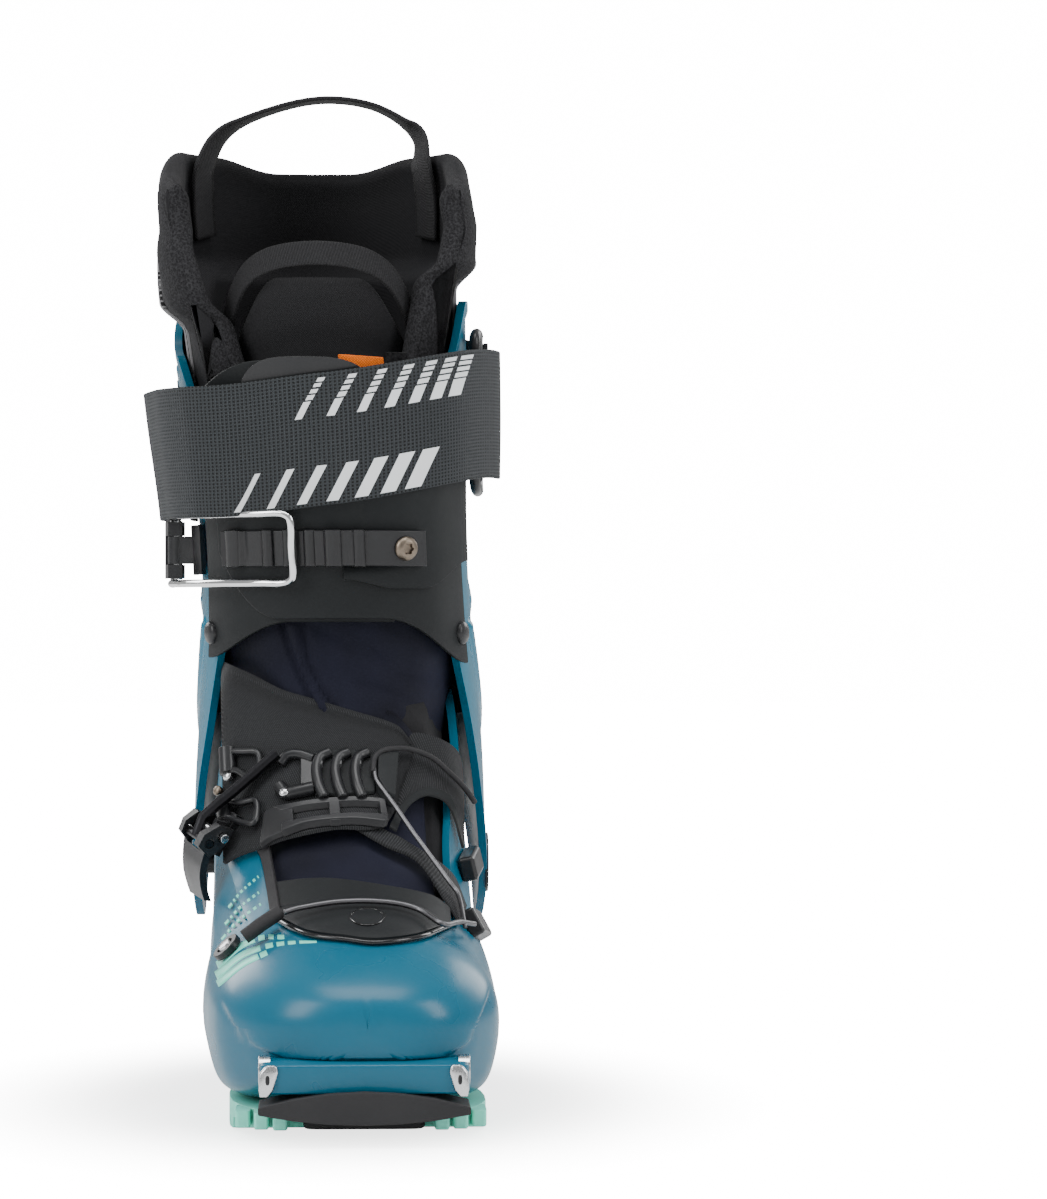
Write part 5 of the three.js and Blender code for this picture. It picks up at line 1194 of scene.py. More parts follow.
def pull_tape(name, points, across, width, thick, node, count=90):
    """A webbing loop through points, its width along smoothly changing directions."""
    points, across = np.array(points), np.array(across)
    line = path_through(points, count)
    reach = reach_of(points)
    widths = curve_values(np.column_stack([reach, across]), np.linspace(0, reach[-1], count)).T
    piece = band(name, line, widths, width, thick, TAPE, "cuff")
    return mark(piece, "webbing", node)


def rear_off(z):
    return float(liner_off(z)) - LINER_T - 2.4


loop_arch = np.array([(-40, -3, 353), (-22, 2, 361.5), (-4, 3, 364.6), (14, 2, 361.5), (27, -3, 352)], float)
loop_points = ([leg(-58, z, rear_off(z)) for z in (312, 326, 338)] + list(loop_arch)
               + [leg(58, z, rear_off(z)) for z in (338, 326, 312)])
loop_turn = (0, 0, 0.08, 0.36, 0.48, 0.5, 0.52, 0.64, 0.92, 1, 1)
loop_across = [mix(way_round(-58), -way_round(58), part) for part in loop_turn]
pull_tape("rear_pull_tape", loop_points, loop_across, 15, 1.5, "rear_pull_loop", 140)
side_way = [(121, 256, -0.2), (121.5, 266, -0.2), (126, 279, -0.3), (142, 292, 0.3), (160, 298, 2)]
tongue_points = ([leg(t, z, TONGUE_OUT + 1.5 + o) for t, z, o in side_way] + [leg(180, 300, TONGUE_OUT + 4.5)]
                 + [leg(360 - t, z, TONGUE_OUT + 1.5 + o) for t, z, o in side_way[::-1]])
down = np.array([0.0, 0, -1])
tongue_across = ([mix(way_round(122), down, float(smooth(i, 1, 4))) for i in range(5)]
                 + [mix(down, -way_round(238), float(smooth(i, 6, 9))) for i in range(5, 11)])
pull_tape("tongue_pull_tape", tongue_points, tongue_across, 8.5, 1.4, "tongue_pull_loop", 120)

# ---- instep: gaiter, flaps, pads
def gaiter_folds(x, z):
    """Soft creases of the gaiter over the instep: two running down it, and shallow ones slanting to
    the medial side."""
    first = near_line(x, z, [(-21, 170), (-16.6, 158), (-9.8, 142), (-4, 130)])
    second = near_line(x, z, [(-13.8, 170), (-11.1, 154.3), (-7, 146), (-2.5, 140), (4, 128)])
    slanted = near_line(x, z, [(-7.5, 168), (16, 155), (39, 149)])
    arc = near_line(x, z, [(7, 147), (20.5, 143.5), (34, 134.5)])
    broad = bell(near_line(x, z, [(-17, 168), (-13, 154), (-7, 140)]), 0, 2.4)
    return (1.5 * broad - 2.6 * bell(first, 0, 1.1) - 2.2 * bell(second, 0, 1.2)
            - 1.2 * bell(slanted, 0, 3.0) - 0.9 * bell(arc, 0, 2.2)
            + 0.5 * np.sin(x / 3.1 + z / 7.0) * smooth(np.abs(x), 6, 26))


GAITER_ROWS = np.array([  # height, half width, rear, front
    [98, 38.5, 47, -99], [108, 39.5, 53, -92], [118, 40, 54.5, -88], [130, 40.5, 56, -84.5],
    [140, 41, 56.5, -81.5], [150, 42.5, 55, -80],
    [160, 44, 52, -80.5], [172, 45, 49, -81], [186, 44.5, 46, -82.5], [196, 44, 44, -84]], float)


def gaiter_sleeve():
    """Stretch sleeve round the ankle: flattened ellipses at each height between the tables' half
    widths, rears and fronts, with folds."""
    z = np.linspace(98, 196, 110)[:, None]
    a = np.linspace(0, 2 * np.pi, 220, endpoint=False)[None]
    half, rear, front = curve_values(GAITER_ROWS, z)
    x = half * squared(np.sin(a), 2.5) - 1.5 * smooth(z, 150, 196)
    y = (rear + front) / 2 + (rear - front) / 2 * squared(np.cos(a), 2.3)
    depth = gaiter_folds(x, z + 0 * a) * smooth(-np.cos(a), 0.35, 0.8)
    rear_fold = (0.8 * np.sin(z / 3.3 + 1.3 * np.sin(3 * a)) * smooth(np.cos(a), 0.5, 0.9)
                 * smooth(z, 98, 106) * smooth(-z, -140, -130))
    push = depth + rear_fold
    out = np.stack([x + push * np.sin(a) * 0.6, y + push * np.cos(a), z + 0 * a], -1)
    inn = np.stack([x - np.sin(a) * 1.0 + push * np.sin(a) * 0.6,
                    y - np.cos(a) * 1.0 + push * np.cos(a), z + 0 * a], -1)
    rings = np.concatenate([out, inn[::-1]])
    piece = ring_skin("ankle_gaiter", rings, NAVY, "shell", closed_way=True)
    piece.parent = None
    del piece["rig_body"]
    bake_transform(piece, "shell", "cuff", (0, -20, 0.112), (0, -20, 0.168))
    mark(piece, "gaiter_fabric", "gaiter_cuff")
    return piece


gaiter_sleeve()


def gaiter_foot_part():
    """Foot part of the gaiter: a wall within the foot's surface, as a grid over angle and station,
    with soft waves."""
    angle, y = np.meshgrid(mix(-39, 39, np.linspace(0, 1, 70)),
                           mix(-142, -78.5, np.linspace(0, 1, 40)), indexing="ij")
    waves = 0.5 * np.sin(angle / 5.0 + y / 9.0) + 0.35 * np.sin(y / 3.4 - angle / 14.0)
    piece = wall("gaiter_foot_part", foot(y, angle, waves - 3.2), foot(y, angle, 0 * y - 5.0), NAVY, "shell", 0)
    mark(piece, "gaiter_fabric", "gaiter_foot")


gaiter_foot_part()
for node, finish, width in (("instep_buckle_base", SATIN_BLACK, 0.4), ("instep_hinge_pin", STEEL, 0.2),
                            ("instep_lever", SATIN_BLACK, 0.5), ("instep_adjuster", BLACK_METAL, 0.25),
                            ("cable_guide_upper", SATIN_BLACK, 1.4), ("cable_guide_lower", SATIN_BLACK, 1.2),
                            ("cable_anchor", SATIN_BLACK, 0.3), ("cable_anchor_screw", STEEL, 0.3),
                            ("ankle_rivet_lateral", SATIN_BLACK, 0.5),
                            ("ankle_rivet_medial", SATIN_BLACK, 0.5)):
    from_cad(node, finish, width)


def drawn_in(points):
    """The rivet's outer part flattened towards the cuff."""
    x = np.abs(points[:, :1])
    seat = x.max() - 6.0
    return points + np.sign(points[:, :1]) * [1, 0, 0] * np.where(x > seat, (seat - x) * 0.42, 0)


def shorter_handle(points):
    """The lever's handle drawn in towards the shell and up."""
    out = np.clip(-52 - points[:, 0], 0, None)
    under = np.clip(84 - points[:, 2], 0, None)
    return points + np.stack([0.3 * out + 0.06 * under, 0 * out, 0.3 * under], -1)


moved("cable_guide_upper", lambda p: p + [-3.4, 0, 0.6])
moved("cable_guide_lower", lambda p: p + [-2.6, 0, 0])
for name in ("ankle_rivet_lateral", "ankle_rivet_medial"):
    moved(name, drawn_in)
moved("instep_lever", shorter_handle)

# ---- instep: shapes laid on the foot by their outline from the front
RIB_ROUND = 2.0


def even(line, count):
    """Points spread evenly along a broken line, on smooth curves."""
    line = np.asarray(line, float)
    reach = reach_of(line)
    return curve_values(np.column_stack([reach, line]), np.linspace(0, reach[-1], count)).T


def laid(name, top, bottom, low, high, finish, nu=60, nv=20, bevel=0.4, node=None, slot=None):
    """A slab on the foot between two outlines (x, z) seen from the front, from the low to the high offset."""
    a, b = even(top, nu)[:, None], even(bottom, nu)[:, None]
    at = mix(a, b, np.linspace(0, 1, nv)[None, :, None])
    middle = (low + high) / 2 if not callable(high) else low
    y, angle = seen_from_front(at[..., 0], at[..., 1], middle)
    u, v = np.linspace(0, 1, nu)[:, None], np.linspace(0, 1, nv)[None]
    top_off = high(u, v) if callable(high) else high
    return mark(wall(name, foot(y, angle, top_off + 0 * y), foot(y, angle, low + 0 * y), finish, "shell",
                     bevel), slot, node)


def on_front(points, off):
    """Points on the foot's face under an outline (x, z) seen from the front."""
    points = np.asarray(points, float)
    off = np.broadcast_to(np.asarray(off, float), (len(points),))
    y, angle = seen_from_front(points[:, 0], points[:, 1], float(off.mean()))
    return foot(y, angle, off)


def cord_on_front(name, points, off, radius, finish, slot, node=None, closed=False, count=90, sides=12):
    """A round cord over the foot's face along an outline (x, z) seen from the front."""
    line = even(list(points) + ([points[0]] if closed else []), 40)
    spots = on_front(line, np.interp(np.linspace(0, 1, 40), np.linspace(0, 1, np.size(off)),
                                     np.atleast_1d(off)))
    if closed:
        piece = tube(name, path_through(spots, count)[:-1], radius, finish, "shell", sides=sides, closed=True,
                     smooth_line=False, first=(0.3, 1, 0.1))
    else:
        piece = tube(name, spots, radius, finish, "shell", count=count, sides=sides, first=(0.3, 1, 0.1))
    return mark(piece, slot, node)


def head_on_front(name, point, off, radius, finish=STEEL):
    """A small domed rivet head on the foot's face."""
    y, angle = seen_from_front(np.array([point[0]]), np.array([point[1]]), off)
    at = on_foot(float(y[0]), float(angle[0]), off)
    r = radius
    return mark(turned(name, [[r * 0.8, -1.5], [r, -0.6], [r, 0.1], [r * 0.86, r * 0.3], [r * 0.5, r * 0.48],
                              [r * 0.15, r * 0.55]], at, finish, "shell", sides=28), "steel")


laid("lateral_instep_flap", [(-42.4, 155.8), (-30.9, 150.9), (-20.1, 145.5), (-11.1, 142.8), (6.9, 137.4),
                             (15.9, 134.7), (21.3, 132), (26, 125.3)],
     [(-40.4, 85.5), (-35.2, 88.8), (-28, 91.5), (-18.2, 95.1), (-2.1, 98.4), (15.8, 99.8), (23.2, 115.7)],
     2.9, 4.1, RIBBED, 90, 44, node="instep_flap_lateral", slot="black_rubber")
laid("medial_instep_flap", [(18.3, 120.9), (22.6, 126.2), (25.9, 130.2), (35.6, 127.9), (41.9, 123),
                            (43.6, 113.2), (43.6, 91.6)],
     [(14, 100.1), (17.9, 103.3), (21.7, 103.7), (26, 107.5), (31.6, 109.3), (38.6, 105.8), (43.6, 90.3)], 0.8,
     2.0, RIBBED, 70, 30, node="instep_flap_medial", slot="black_rubber")
laid("medial_window_trim", [(17.2, 98.6), (20.7, 105), (25.3, 109.5), (31.6, 111.3), (39.3, 107.8),
                            (43.6, 91.6)], [(19.7, 97.2), (22.5, 102.9), (26.3, 107.1), (31.6, 108.8),
                                            (38.3, 105.3), (43.6, 90.2)], 1.9, 2.7, MATT_BLACK, 50, 8,
     slot="black_rubber")
laid("medial_lower_band", [(9.1, 101.3), (16.6, 96.8), (21.6, 94.4), (38.3, 82.9), (43.6, 71.7)],
     [(3.5, 99.3), (15.7, 92.6), (27.2, 87.1), (36.9, 73.5), (41.1, 67.2)], 0.8, 2.2, RIBBED, 60, 14,
     slot="black_rubber")
laid("toe_patch_strip", [(-23, 80.4), (-12.5, 81.9), (-2, 82.1), (15.5, 79.9), (31.2, 76.4), (37.7, 72.1)],
     [(-21.7, 72.9), (-6.4, 74.9), (11.1, 75.7), (24.2, 74), (32.1, 70.3), (37.7, 66.8)], 0.5, 1.6, MATT_BLACK,
     60, 12, slot="black_rubber")
laid("toe_patch", [(-21, 72.6), (-6.4, 75), (11, 75.9), (24, 73.9), (32.7, 70), (38.1, 66.9)],
     [(-20.4, 70), (-10.7, 66.9), (2.3, 65.6), (11, 64.8), (24, 65.6), (38.1, 67.5)], 0.4,
     lambda u, v: 1.3 + 1.5 * np.sin(np.pi * u) * np.sin(np.pi * v) ** 0.6, MATT_BLACK, 70, 20,
     node="instep_strap_pad", slot="black_rubber")
cord_on_front("toe_patch_border", [(-22.9, 71.9), (-20.3, 69.5), (-10.7, 66.5), (2.3, 65.2), (11, 64.3),
                                   (24, 65.2), (32.7, 66.5), (39.7, 68)], 1.2, 0.9, GLOSS_TRIM, "black_rubber")
cord_on_front("toe_patch_badge", [(15.2, 71.5), (13.2, 70), (9.3, 69.4), (5.4, 70), (3.4, 71.5), (5.4, 73),
                                  (9.3, 73.6), (13.2, 73)], 2.7, 0.28, GLOSS_TRIM, "black_rubber", closed=True)
laid("opening_border_lateral", [(-29.9, 92), (-27.2, 87.8), (-25.4, 80.7), (-23.2, 70.1)],
     [(-25, 94), (-23.6, 88.2), (-21.9, 81.2), (-19.7, 71)], 0.4, 2.6, RUBBER, 40, 8, slot="black_rubber")
laid("catch_wide_end", [(-26.3, 102.5), (-23.5, 104.5), (-16.3, 105.8)],
     [(-27.5, 92.2), (-23.5, 94.9), (-15.5, 98)], 4.3, 6.4, SATIN_BLACK, 20, 14, bevel=0.7,
     node="instep_catch", slot="black_plastic")
laid("catch_upper_beam", [(-23.5, 104.5), (-11, 106.9), (4.2, 108.2), (14.4, 107.5)],
     [(-19.9, 103.4), (-11, 105.3), (4.2, 106.6), (15.3, 106.1)], 4.3, 6.8, SATIN_BLACK, 50, 6, bevel=0.6,
     slot="black_plastic")
laid("catch_lower_beam", [(-19.9, 99.2), (-11, 101.1), (4.2, 102.7), (16, 102.2)],
     [(-19.9, 96.5), (-11, 99.5), (4.2, 100.8), (16, 99.7)], 4.3, 7.2, SATIN_BLACK, 50, 6, bevel=0.6,
     slot="black_plastic")
laid("catch_divider", [(-4, 107.5), (-0.1, 107.9)],
     [(-3.4, 100.1), (0.6, 100.4)], 4.3, 6.8, SATIN_BLACK, 10, 12, bevel=0.5, slot="black_plastic")
laid("catch_narrow_end", [(13.3, 107.7), (15.6, 107)],
     [(14.4, 100.2), (16.7, 100.1)], 4.3, 6.8, SATIN_BLACK, 10, 12, bevel=0.5, slot="black_plastic")
laid("slider_plate", [(-12.9, 122.9), (-5.7, 124.2), (3.3, 124.6), (12.3, 122.9)],
     [(-12.9, 111.7), (-5.7, 109.8), (3.3, 109.6), (12.3, 110.3)], 4.3, 5.8, MATT_BLACK, 40, 14, bevel=0.5,
     node="ribbed_slider", slot="black_plastic")
laid("slider_fork_web", [(-13.6, 123.1), (-7, 122)],
     [(-13.6, 112.5), (-7, 110.1)], 4.3, 7.4, SATIN_BLACK, 14, 12, bevel=0.8, slot="black_plastic")
laid("slider_end_block", [(13, 122.8), (16.6, 123.8), (20.2, 122.8)],
     [(12.9, 113.9), (15.9, 109), (18.8, 107.4)], 4.3, 9.0, MATT_BLACK, 16, 14, bevel=1.1, slot="black_plastic")
slider_ribs = [
    ([(-3.7, 124.9), (-6.8, 122.5), (-8.1, 118), (-7.3, 113), (-5.5, 109.6)],
     [(-8.7, 120.2), (-5.9, 121)], [(-8.7, 119), (-5.9, 119.6)]),
    ([(3, 124.9), (-0.1, 122.5), (-1.5, 118), (-0.6, 113), (1.2, 109.6)],
     [(-2, 120.2), (0.8, 121)], [(-2, 119), (0.8, 119.6)]),
    ([(9.8, 124.9), (6.7, 122.5), (5.4, 118), (6.2, 113), (8, 109.6)],
     [(4.8, 120.2), (7.6, 121)], [(4.8, 119), (7.6, 119.6)])]
for index, (rib, notch_top, notch_bottom) in enumerate(slider_ribs, 1):
    cord_on_front(f"slider_rib_{index}", rib, (6.6, 7.6, 7.8, 7.6, 6.6), RIB_ROUND, SATIN_BLACK, "black_plastic",
                  sides=16)
    laid(f"slider_rib_notch_{index}", notch_top, notch_bottom, 8.6, 10.0, SATIN_BLACK, 8, 5, bevel=0.25,
         slot="black_plastic")
cord_on_front("slider_fork_upper", [(-9.3, 122), (-14.7, 123.5), (-18.7, 122.9), (-21, 120.1)], 6.4, 1.9,
              SATIN_BLACK, "black_plastic")
cord_on_front("slider_fork_lower", [(-9.3, 111.9), (-14.7, 110.7), (-19, 110.1), (-21.2, 112.5)], 6.2, 2.5,
              SATIN_BLACK, "black_plastic")
head_on_front("slider_rivet", (-19.6, 110.6), 8.6, 1.9)
head_on_front("bracket_rivet_1", (-39.7, 115.7), 7.4, 1.9)
head_on_front("bracket_rivet_2", (-40, 98.7), 7.4, 1.9)
head_on_front("bracket_rivet_3", (-43.4, 95.1), 7.4, 1.9)
head_on_front("bracket_brass_rivet", (-43.4, 110.4), 6.4, 1.8, WORN)
cord_on_front("bracket_frame_upper", [(-40.9, 124.1), (-34.6, 124.2), (-28.9, 123.7), (-29.2, 115.9),
                                      (-32.6, 115.8), (-36.4, 117.6), (-40, 118.1)], 7.2, 1.25, SATIN_BLACK,
              "black_plastic", closed=True)
cord_on_front("bracket_barrel_upper", [(-40, 125.1), (-39.5, 116.3)], 6.6, 3.1, SATIN_BLACK, "black_plastic")
cord_on_front("bracket_frame_lower", [(-41.6, 106.9), (-34.6, 106.7), (-29.4, 107.3), (-29.7, 100.2),
                                      (-33.5, 99.9), (-38.2, 101.1), (-41.3, 101.5)], 7.2, 1.25, SATIN_BLACK,
              "black_plastic", closed=True)
cord_on_front("bracket_barrel_lower", [(-40.9, 107.8), (-40.5, 99.9)], 6.6, 3.1, SATIN_BLACK, "black_plastic")
cord_on_front("upper_cable", [(11.6, 116.7), (12.2, 121.5), (15.5, 123.6), (23.2, 123.8), (32.2, 121.8),
                              (38.8, 117.9), (45.3, 112.9), (50.2, 107.2)], (8.5, 9.2, 9.4, 8.4, 7, 6, 5.4),
              1.0, RUBBER, "black_plastic", node="cable_slider_to_upper_guide")
cord_on_front("lower_cable", [(11.5, 117.7), (12.4, 112.3), (17.6, 105.7), (24.8, 97.4), (32, 89.4),
                              (38.6, 82), (42.1, 77.8), (44.2, 68.7)],
              (8.5, 8.6, 7.6, 6.4, 5.6, 4.8, 4.2, 3.8), 0.8, BRAID, "black_plastic",
              node="cable_slider_to_lower_guide")
cord_on_front("toe_cable", [(46.4, 67.6), (41.0, 69.0), (35.2, 69.2), (26, 73.7), (15.1, 75.7), (-0.7, 75.7),
                            (-13.7, 73.7), (-18.5, 72.3)], (4.4, 4.6, 5.0, 5.2, 5.2, 5.4), 0.95, BRAID,
              "black_plastic", node="cable_over_toe")
cord_on_front("cable_sleeve_tube", [(-20.8, 72.4), (-26.4, 68.9), (-32.1, 65.3)], (5.4, 5.6, 5.2), 2.5, RUBBER,
              "black_rubber", node="cable_sleeve")

# ---- mint inlays on the toe and print on the strap
def inlay(name, points, width_from, width_to, gaps=()):
    """A thin inlaid stripe on the shell along an outline seen from the front; its width changes along
    it and gaps break it."""
    line = even(points, 60)
    along = np.gradient(line, axis=0)
    normal = np.stack([-along[:, 1], along[:, 0]], -1) / np.linalg.norm(along, axis=1)[:, None]
    t = np.linspace(0, 1, 60)[:, None]
    half = mix(width_from, width_to, t) / 2
    cuts = [0.0] + [g for gap in gaps for g in gap] + [1.0]
    for k, (start, end) in enumerate(zip(cuts[0::2], cuts[1::2])):
        part = (t[:, 0] >= start) & (t[:, 0] <= end)
        if part.sum() > 2:
            piece = laid(f"{name}_{k + 1}", (line + normal * half)[part], (line - normal * half)[part], -0.5,
                         0.12, MINT_MARK, 24, 4, bevel=0)


DOTS = [(g, g + 0.05) for g in np.arange(0.12, 0.95, 0.13)]
laid("shell_rim_lateral", [(-39.4, 87.4), (-36.6, 79.8), (-33.2, 71.5), (-28.3, 63.9)],
     [(-29.4, 94), (-26.6, 86), (-24.2, 77.1), (-21.8, 68.1)], -2.6, 0.0, TEAL, 30, 10, slot="teal_plastic")
inlay("toe_inlay_1", [(-38.4, 71.2), (-34, 76.6), (-28, 81.9)], 0.65, 0.8, DOTS)
inlay("toe_inlay_2", [(-39.4, 66), (-34, 72.1), (-27.7, 77)], 0.65, 0.8, DOTS)
inlay("toe_inlay_3", [(-40.3, 61.4), (-34.9, 67.7), (-26.9, 73.5)], 0.65, 0.8, DOTS)
inlay("toe_inlay_4", [(-41, 56.8), (-37.3, 61.9)], 0.65, 0.8, DOTS)
inlay("toe_inlay_5", [(-41.3, 53.9), (-34, 60.4), (-26.2, 64), (-18.5, 64.9)], 2, 1,
      ((0.62, 0.66), (0.76, 0.79), (0.88, 0.9)))
inlay("toe_inlay_6", [(-41.5, 51), (-33.2, 58.2), (-24.5, 62), (-15.9, 63.6), (-7.6, 64.1)], 2.2, 0.5,
      ((0.5, 0.53), (0.62, 0.64), (0.72, 0.74), (0.82, 0.84)))
inlay("toe_inlay_7", [(-40.8, 49), (-32.3, 56.2), (-24.1, 60.4)], 1.8, 1.4, ((0.86, 0.88),))
UPPER_BARS = [(-14.9, 8.6, 2.6), (-3.4, 8.2, 3.0), (7.6, 7.8, 3.3), (17.6, 7.3, 3.7), (26.4, 6.7, 4.0),
              (34.2, 6.0, 4.3), (41.2, 5.0, 4.6)]
LOWER_BARS = [(-36.9, 8.3, 2.0), (-25.2, 8.3, 2.8), (-14, 8.2, 3.6), (-3, 8.0, 4.4), (7.4, 7.8, 5.0),
              (17, 7.4, 5.6), (26, 7.0, 6.0)]
UPPER_CUTS = [(0, 0.42), (0.46, 0.58), (0.62, 0.72), (0.77, 0.86), (0.9, 1.0)]


def strap_angle(x, z, off):
    """Angle on the strap's face at a place x, z on its front half."""
    t = np.linspace(97, 262, 500)
    return np.interp(-x, -leg(t, np.mean(z), off)[:, 0], t)


def strap_bars():
    """Slanted white bars printed on the strap: each is a small slab leaning with the height, the upper
    ones broken into short parts."""
    points, quads, count = [], [], 0
    parts = ([(bar, cut, 0.34, 0.93) for bar in UPPER_BARS for cut in UPPER_CUTS]
             + [(bar, (0, 1), -0.95, -0.4) for bar in LOWER_BARS])
    for (x0, lean, width), (start, end), low, high in parts:
        v = np.linspace(start, end, 8)[None]
        x = x0 + lean * v + np.linspace(-0.5, 0.5, 5)[:, None] * width
        near = strap_angle(x, 0 * x + 236, 10.0)
        z = strap_mid(near) + strap_half(near) * mix(low, high, v)
        t = strap_angle(x, z, 10.0)
        off = strap_front_off(t) + STRAP_T
        for lift in (0.14, -0.5):
            points.append(leg(t, z, off + lift).reshape(-1, 3))
        quads.append(wall_faces(*x.shape, count))
        count += 2 * x.size
    piece = add_mesh("strap_printed_bars", np.concatenate(points), np.concatenate(quads), WHITE_BAR,
                     "cuff", sharp=30)


strap_bars()

# ---- teeth of the buckle rack
def rack_tooth(name, t, width):
    """A hooked tooth standing on the rack: its section in angle and offset is carried up its height."""
    seat = float(mix(yoke_off(min(t, 178.0)) + FLAP_T + GAP, 2.6 + FLAP_T + GAP, smooth(t, 180, 186))) - 0.6
    section = np.array([[-0.5, 0], [0.5, 0], [0.5, 2.0], [0.34, 3.4], [0.0, 3.9], [-0.34, 3.5],
                        [-0.58, 2.6], [-0.5, 1.4]])
    section = curve_values(np.column_stack([np.arange(9), np.concatenate([section, section[:1]])]),
                           np.linspace(0, 8, 33)[:-1]).T
    heights = ((-6.6, 0.86), (-6.3, 1.0), (-1, 1.0), (1, 1.0), (6.3, 1.0), (6.6, 0.86))
    rings = [leg(t + section[:, 0] * width * grow / 0.9, BUCKLE_Z + z + 0 * section[:, 0],
                 seat + section[:, 1] * grow) for z, grow in heights]
    piece = ring_skin(name, np.array(rings), SATIN_BLACK, "cuff", bevel=0.25, sharp=40)


for index, (t, width) in enumerate([(217.0, 5.4), (201.5, 3.4), (194.0, 3.0), (186.8, 3.2),
                                    (180.4, 3.2), (173.6, 3.2)]):
    rack_tooth(f"rack_tooth_{index + 1}", t, width)

# ---- walk lever and its lock, at the rear
for node, finish, width in (("walk_lock_plate", BLACK_METAL, 0.4), ("walk_channel", MATT_BLACK, 0.5),
                            ("walk_pin", STEEL, 0.3), ("walk_lever", BLACK_METAL, 0.5),
                            ("walk_roller", STEEL, 0.3), ("walk_pull_pad", RUBBER, 0.25)):
    from_cad(node, finish, width)


def wall_y(z, off):
    return float(leg(0, z, off)[1])


def heel_face(z, off):
    return HEEL_Y + off - LEAN * max(0, z - 62)


for name, z in (("upper", 214.0), ("lower", 190.5)):
    piece = screw_head("channel_screw_" + name, 4.0, 2.0, along_y(wall_y(z, 4.0) + 0.8, z), STEEL, "cuff")
    mark(piece, "steel", "walk_screw_" + name)
for name, node, radius, y, z in (("lock_bolt_head", "walk_lock_bolt", 4.2, heel_face(65.5, 3.4) + 0.8, 65.5),
                                 ("heel_plate_screw_head", "heel_insert_screw", 4.6,
                                  72 - 3.5 + 0.3 + 2.5 + 2.9, 17.0)):
    piece = screw_head(name, radius, 2.2, along_y(y, z), STEEL, "shell")
    mark(piece, "steel", node)


def spring_line(turns=6, radius=3.0, count=260):
    """A coil: a circle of that radius carried up between the roller and the pin."""
    t = np.linspace(0, 1, count)
    bottom, top = np.array([0, 66.8, 148.8]), np.array([0, 64.6, 170.6])
    a = 2 * np.pi * turns * t
    return bottom + (top - bottom) * t[:, None] + radius * np.stack([np.cos(a), np.sin(a), 0 * a], -1)


spring = tube("lever_spring_wire", spring_line(), 0.9, GOLD, "walk_lever", sides=10, smooth_line=False)
mark(spring, "spring_steel", "walk_spring")


def seen_from_rear(x, z, off=0.0):
    """The leg angle of a place x, z on the back."""
    t = np.linspace(-88, 88, 500)
    return np.interp(x, leg(t, z, off)[:, 0], t)


def cord_on_leg(name, points, off, radius, finish, slot):
    """A round cord lying on the leg's back along an outline (x, z)."""
    spots = np.stack([leg(float(seen_from_rear(x, z, off)), z, off) for x, z in even(points, 50)])
    return mark(tube(name, spots, radius, finish, "cuff", count=90, sides=12, first=(0.3, 1, 0.1)), slot)


for index, z in enumerate((209.5, 213.5, 217.5)):
    for side in (-1, 1):
        cord_on_leg(f"cuff_score_{'lateral' if side < 0 else 'medial'}_{index + 1}",
                    [(side * 11, z), (side * 15 + side * index, z)], 0.55, 0.45, TEAL, "teal_plastic")
for name, side in (("channel_pocket_rim", -1), ("channel_pocket_rim_medial", 1)):
    rim = [(side * 11.5, 222), (side * 11.5, 196), (side * 10.2, 172), (side * 8.6, 160)]
    cord_on_leg(name, rim, 0.6, 0.9, TEAL, "teal_plastic")
cord_on_leg("channel_pocket_top", [(-11.5, 221), (-8.5, 226.5), (0, 228.6), (8.5, 226.5), (11.5, 221)], 0.6,
            0.9, TEAL, "teal_plastic")

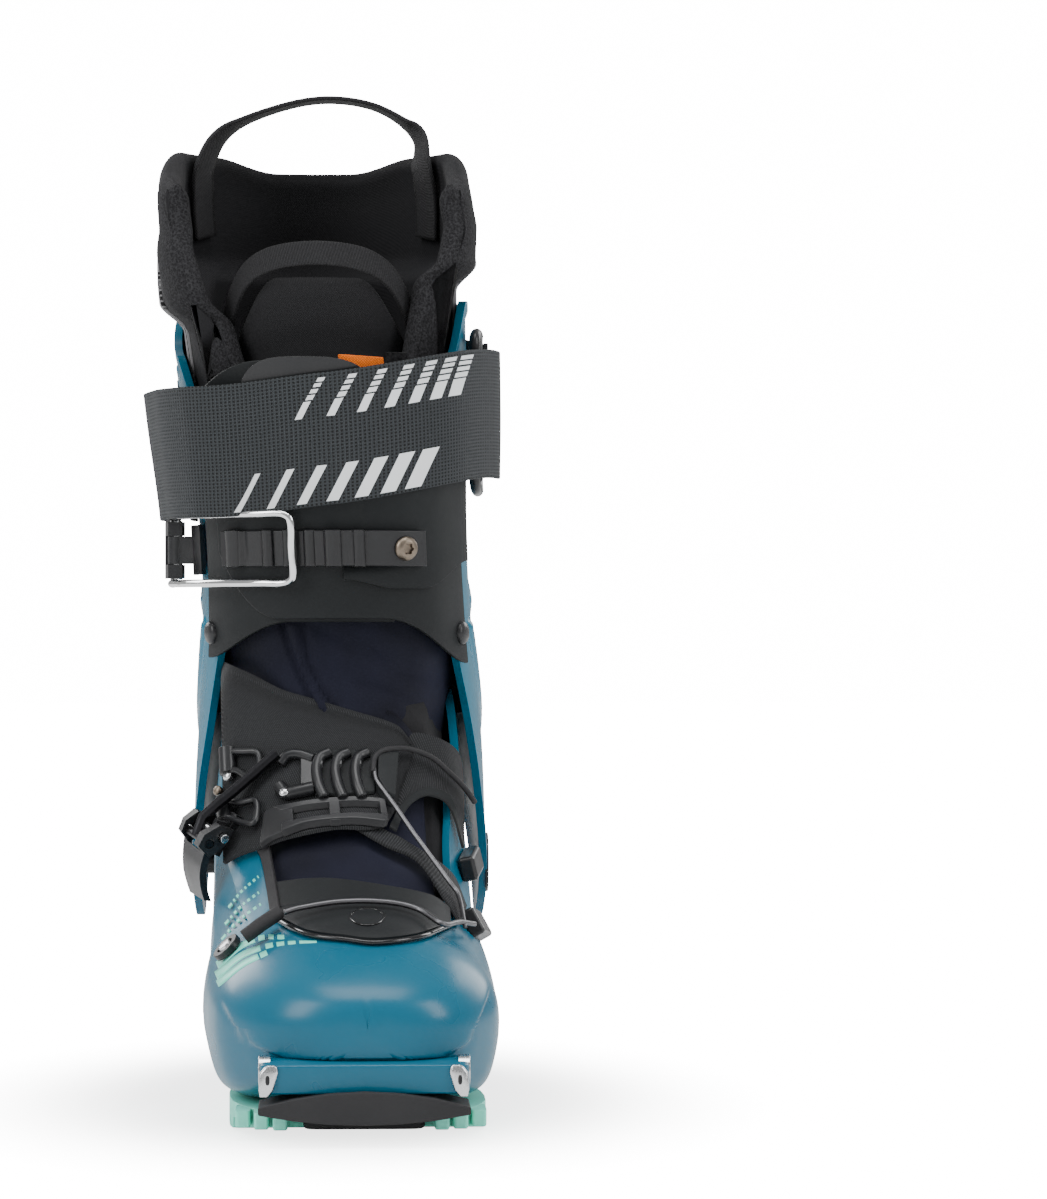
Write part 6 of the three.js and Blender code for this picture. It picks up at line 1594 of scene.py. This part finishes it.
# ---- floor, light and finish
floor_mesh = bpy.data.meshes.new("studio_floor")
floor_mesh.from_pydata([(-6, -3.5, 0), (6, -3.5, 0), (6, 6, 0), (-6, 6, 0)], [], [(0, 1, 2, 3)])
floor = bpy.data.objects.new("studio_floor", floor_mesh)
bpy.context.scene.collection.objects.link(floor)
floor_recipe = Recipe("pale_floor", (0.94, 0.94, 0.94), 0.9, specular=0.05)
floor_finish = floor_recipe.material
floor_tree = floor_finish.node_tree
spot, away, glow, look, seen = (floor_tree.nodes.new(kind) for kind in (
    "ShaderNodeTexCoord", "ShaderNodeMapping", "ShaderNodeMapRange", "ShaderNodeLightPath", "ShaderNodeMath"))
reach = floor_tree.nodes.new("ShaderNodeVectorMath")
reach.operation = "LENGTH"
away.inputs["Location"].default_value = (0, 0.42, 0)
away.inputs["Scale"].default_value = (9.5, 6.0, 0)
glow.interpolation_type = "SMOOTHERSTEP"
for key, value in (("From Min", 0.5), ("From Max", 1.75), ("To Min", 2.6), ("To Max", 16.0)):
    glow.inputs[key].default_value = value
seen.operation = "MULTIPLY"
floor_recipe.put(floor_recipe.shader, **{"Emission Color": (1, 1, 1, 1)})
for source, target in ((spot.outputs["Object"], away.inputs["Vector"]),
                       (away.outputs["Vector"], reach.inputs[0]),
                       (reach.outputs["Value"], glow.inputs["Value"]),
                       (glow.outputs["Result"], seen.inputs[0]),
                       (look.outputs["Is Camera Ray"], seen.inputs[1]),
                       (seen.outputs["Value"], floor_recipe.shader.inputs["Emission Strength"])):
    floor_tree.links.new(source, target)
floor_mesh.materials.append(floor_finish)

world = bpy.data.worlds.new("soft_white_room")
bpy.context.scene.world = world
world.use_nodes = True
sky = world.node_tree
background = sky.nodes["Background"]
background.inputs["Color"].default_value = (1, 1, 1, 1)
rays = sky.nodes.new("ShaderNodeLightPath")
level = sky.nodes.new("ShaderNodeMapRange")
level.inputs["To Min"].default_value = 0.48
level.inputs["To Max"].default_value = 16.0
sky.links.new(rays.outputs["Is Camera Ray"], level.inputs["Value"])
sky.links.new(level.outputs["Result"], background.inputs["Strength"])
soft_light("large_left_light", (-1.6, -1.3, 1.3), (0, -0.08, 0.18), (0.9, 1.5), 34)
soft_light("large_right_light", (1.7, -1.0, 1.2), (0, -0.08, 0.18), (0.7, 1.4), 22)
soft_light("top_light", (0.0, -0.5, 1.9), (0, -0.1, 0.1), (1.2, 1.0), 26)
soft_light("rear_left_light", (-1.4, 1.5, 1.2), (0, 0, 0.18), (0.9, 1.2), 26)
soft_light("rear_right_light", (1.4, 1.5, 1.1), (0, 0, 0.18), (0.9, 1.2), 18)
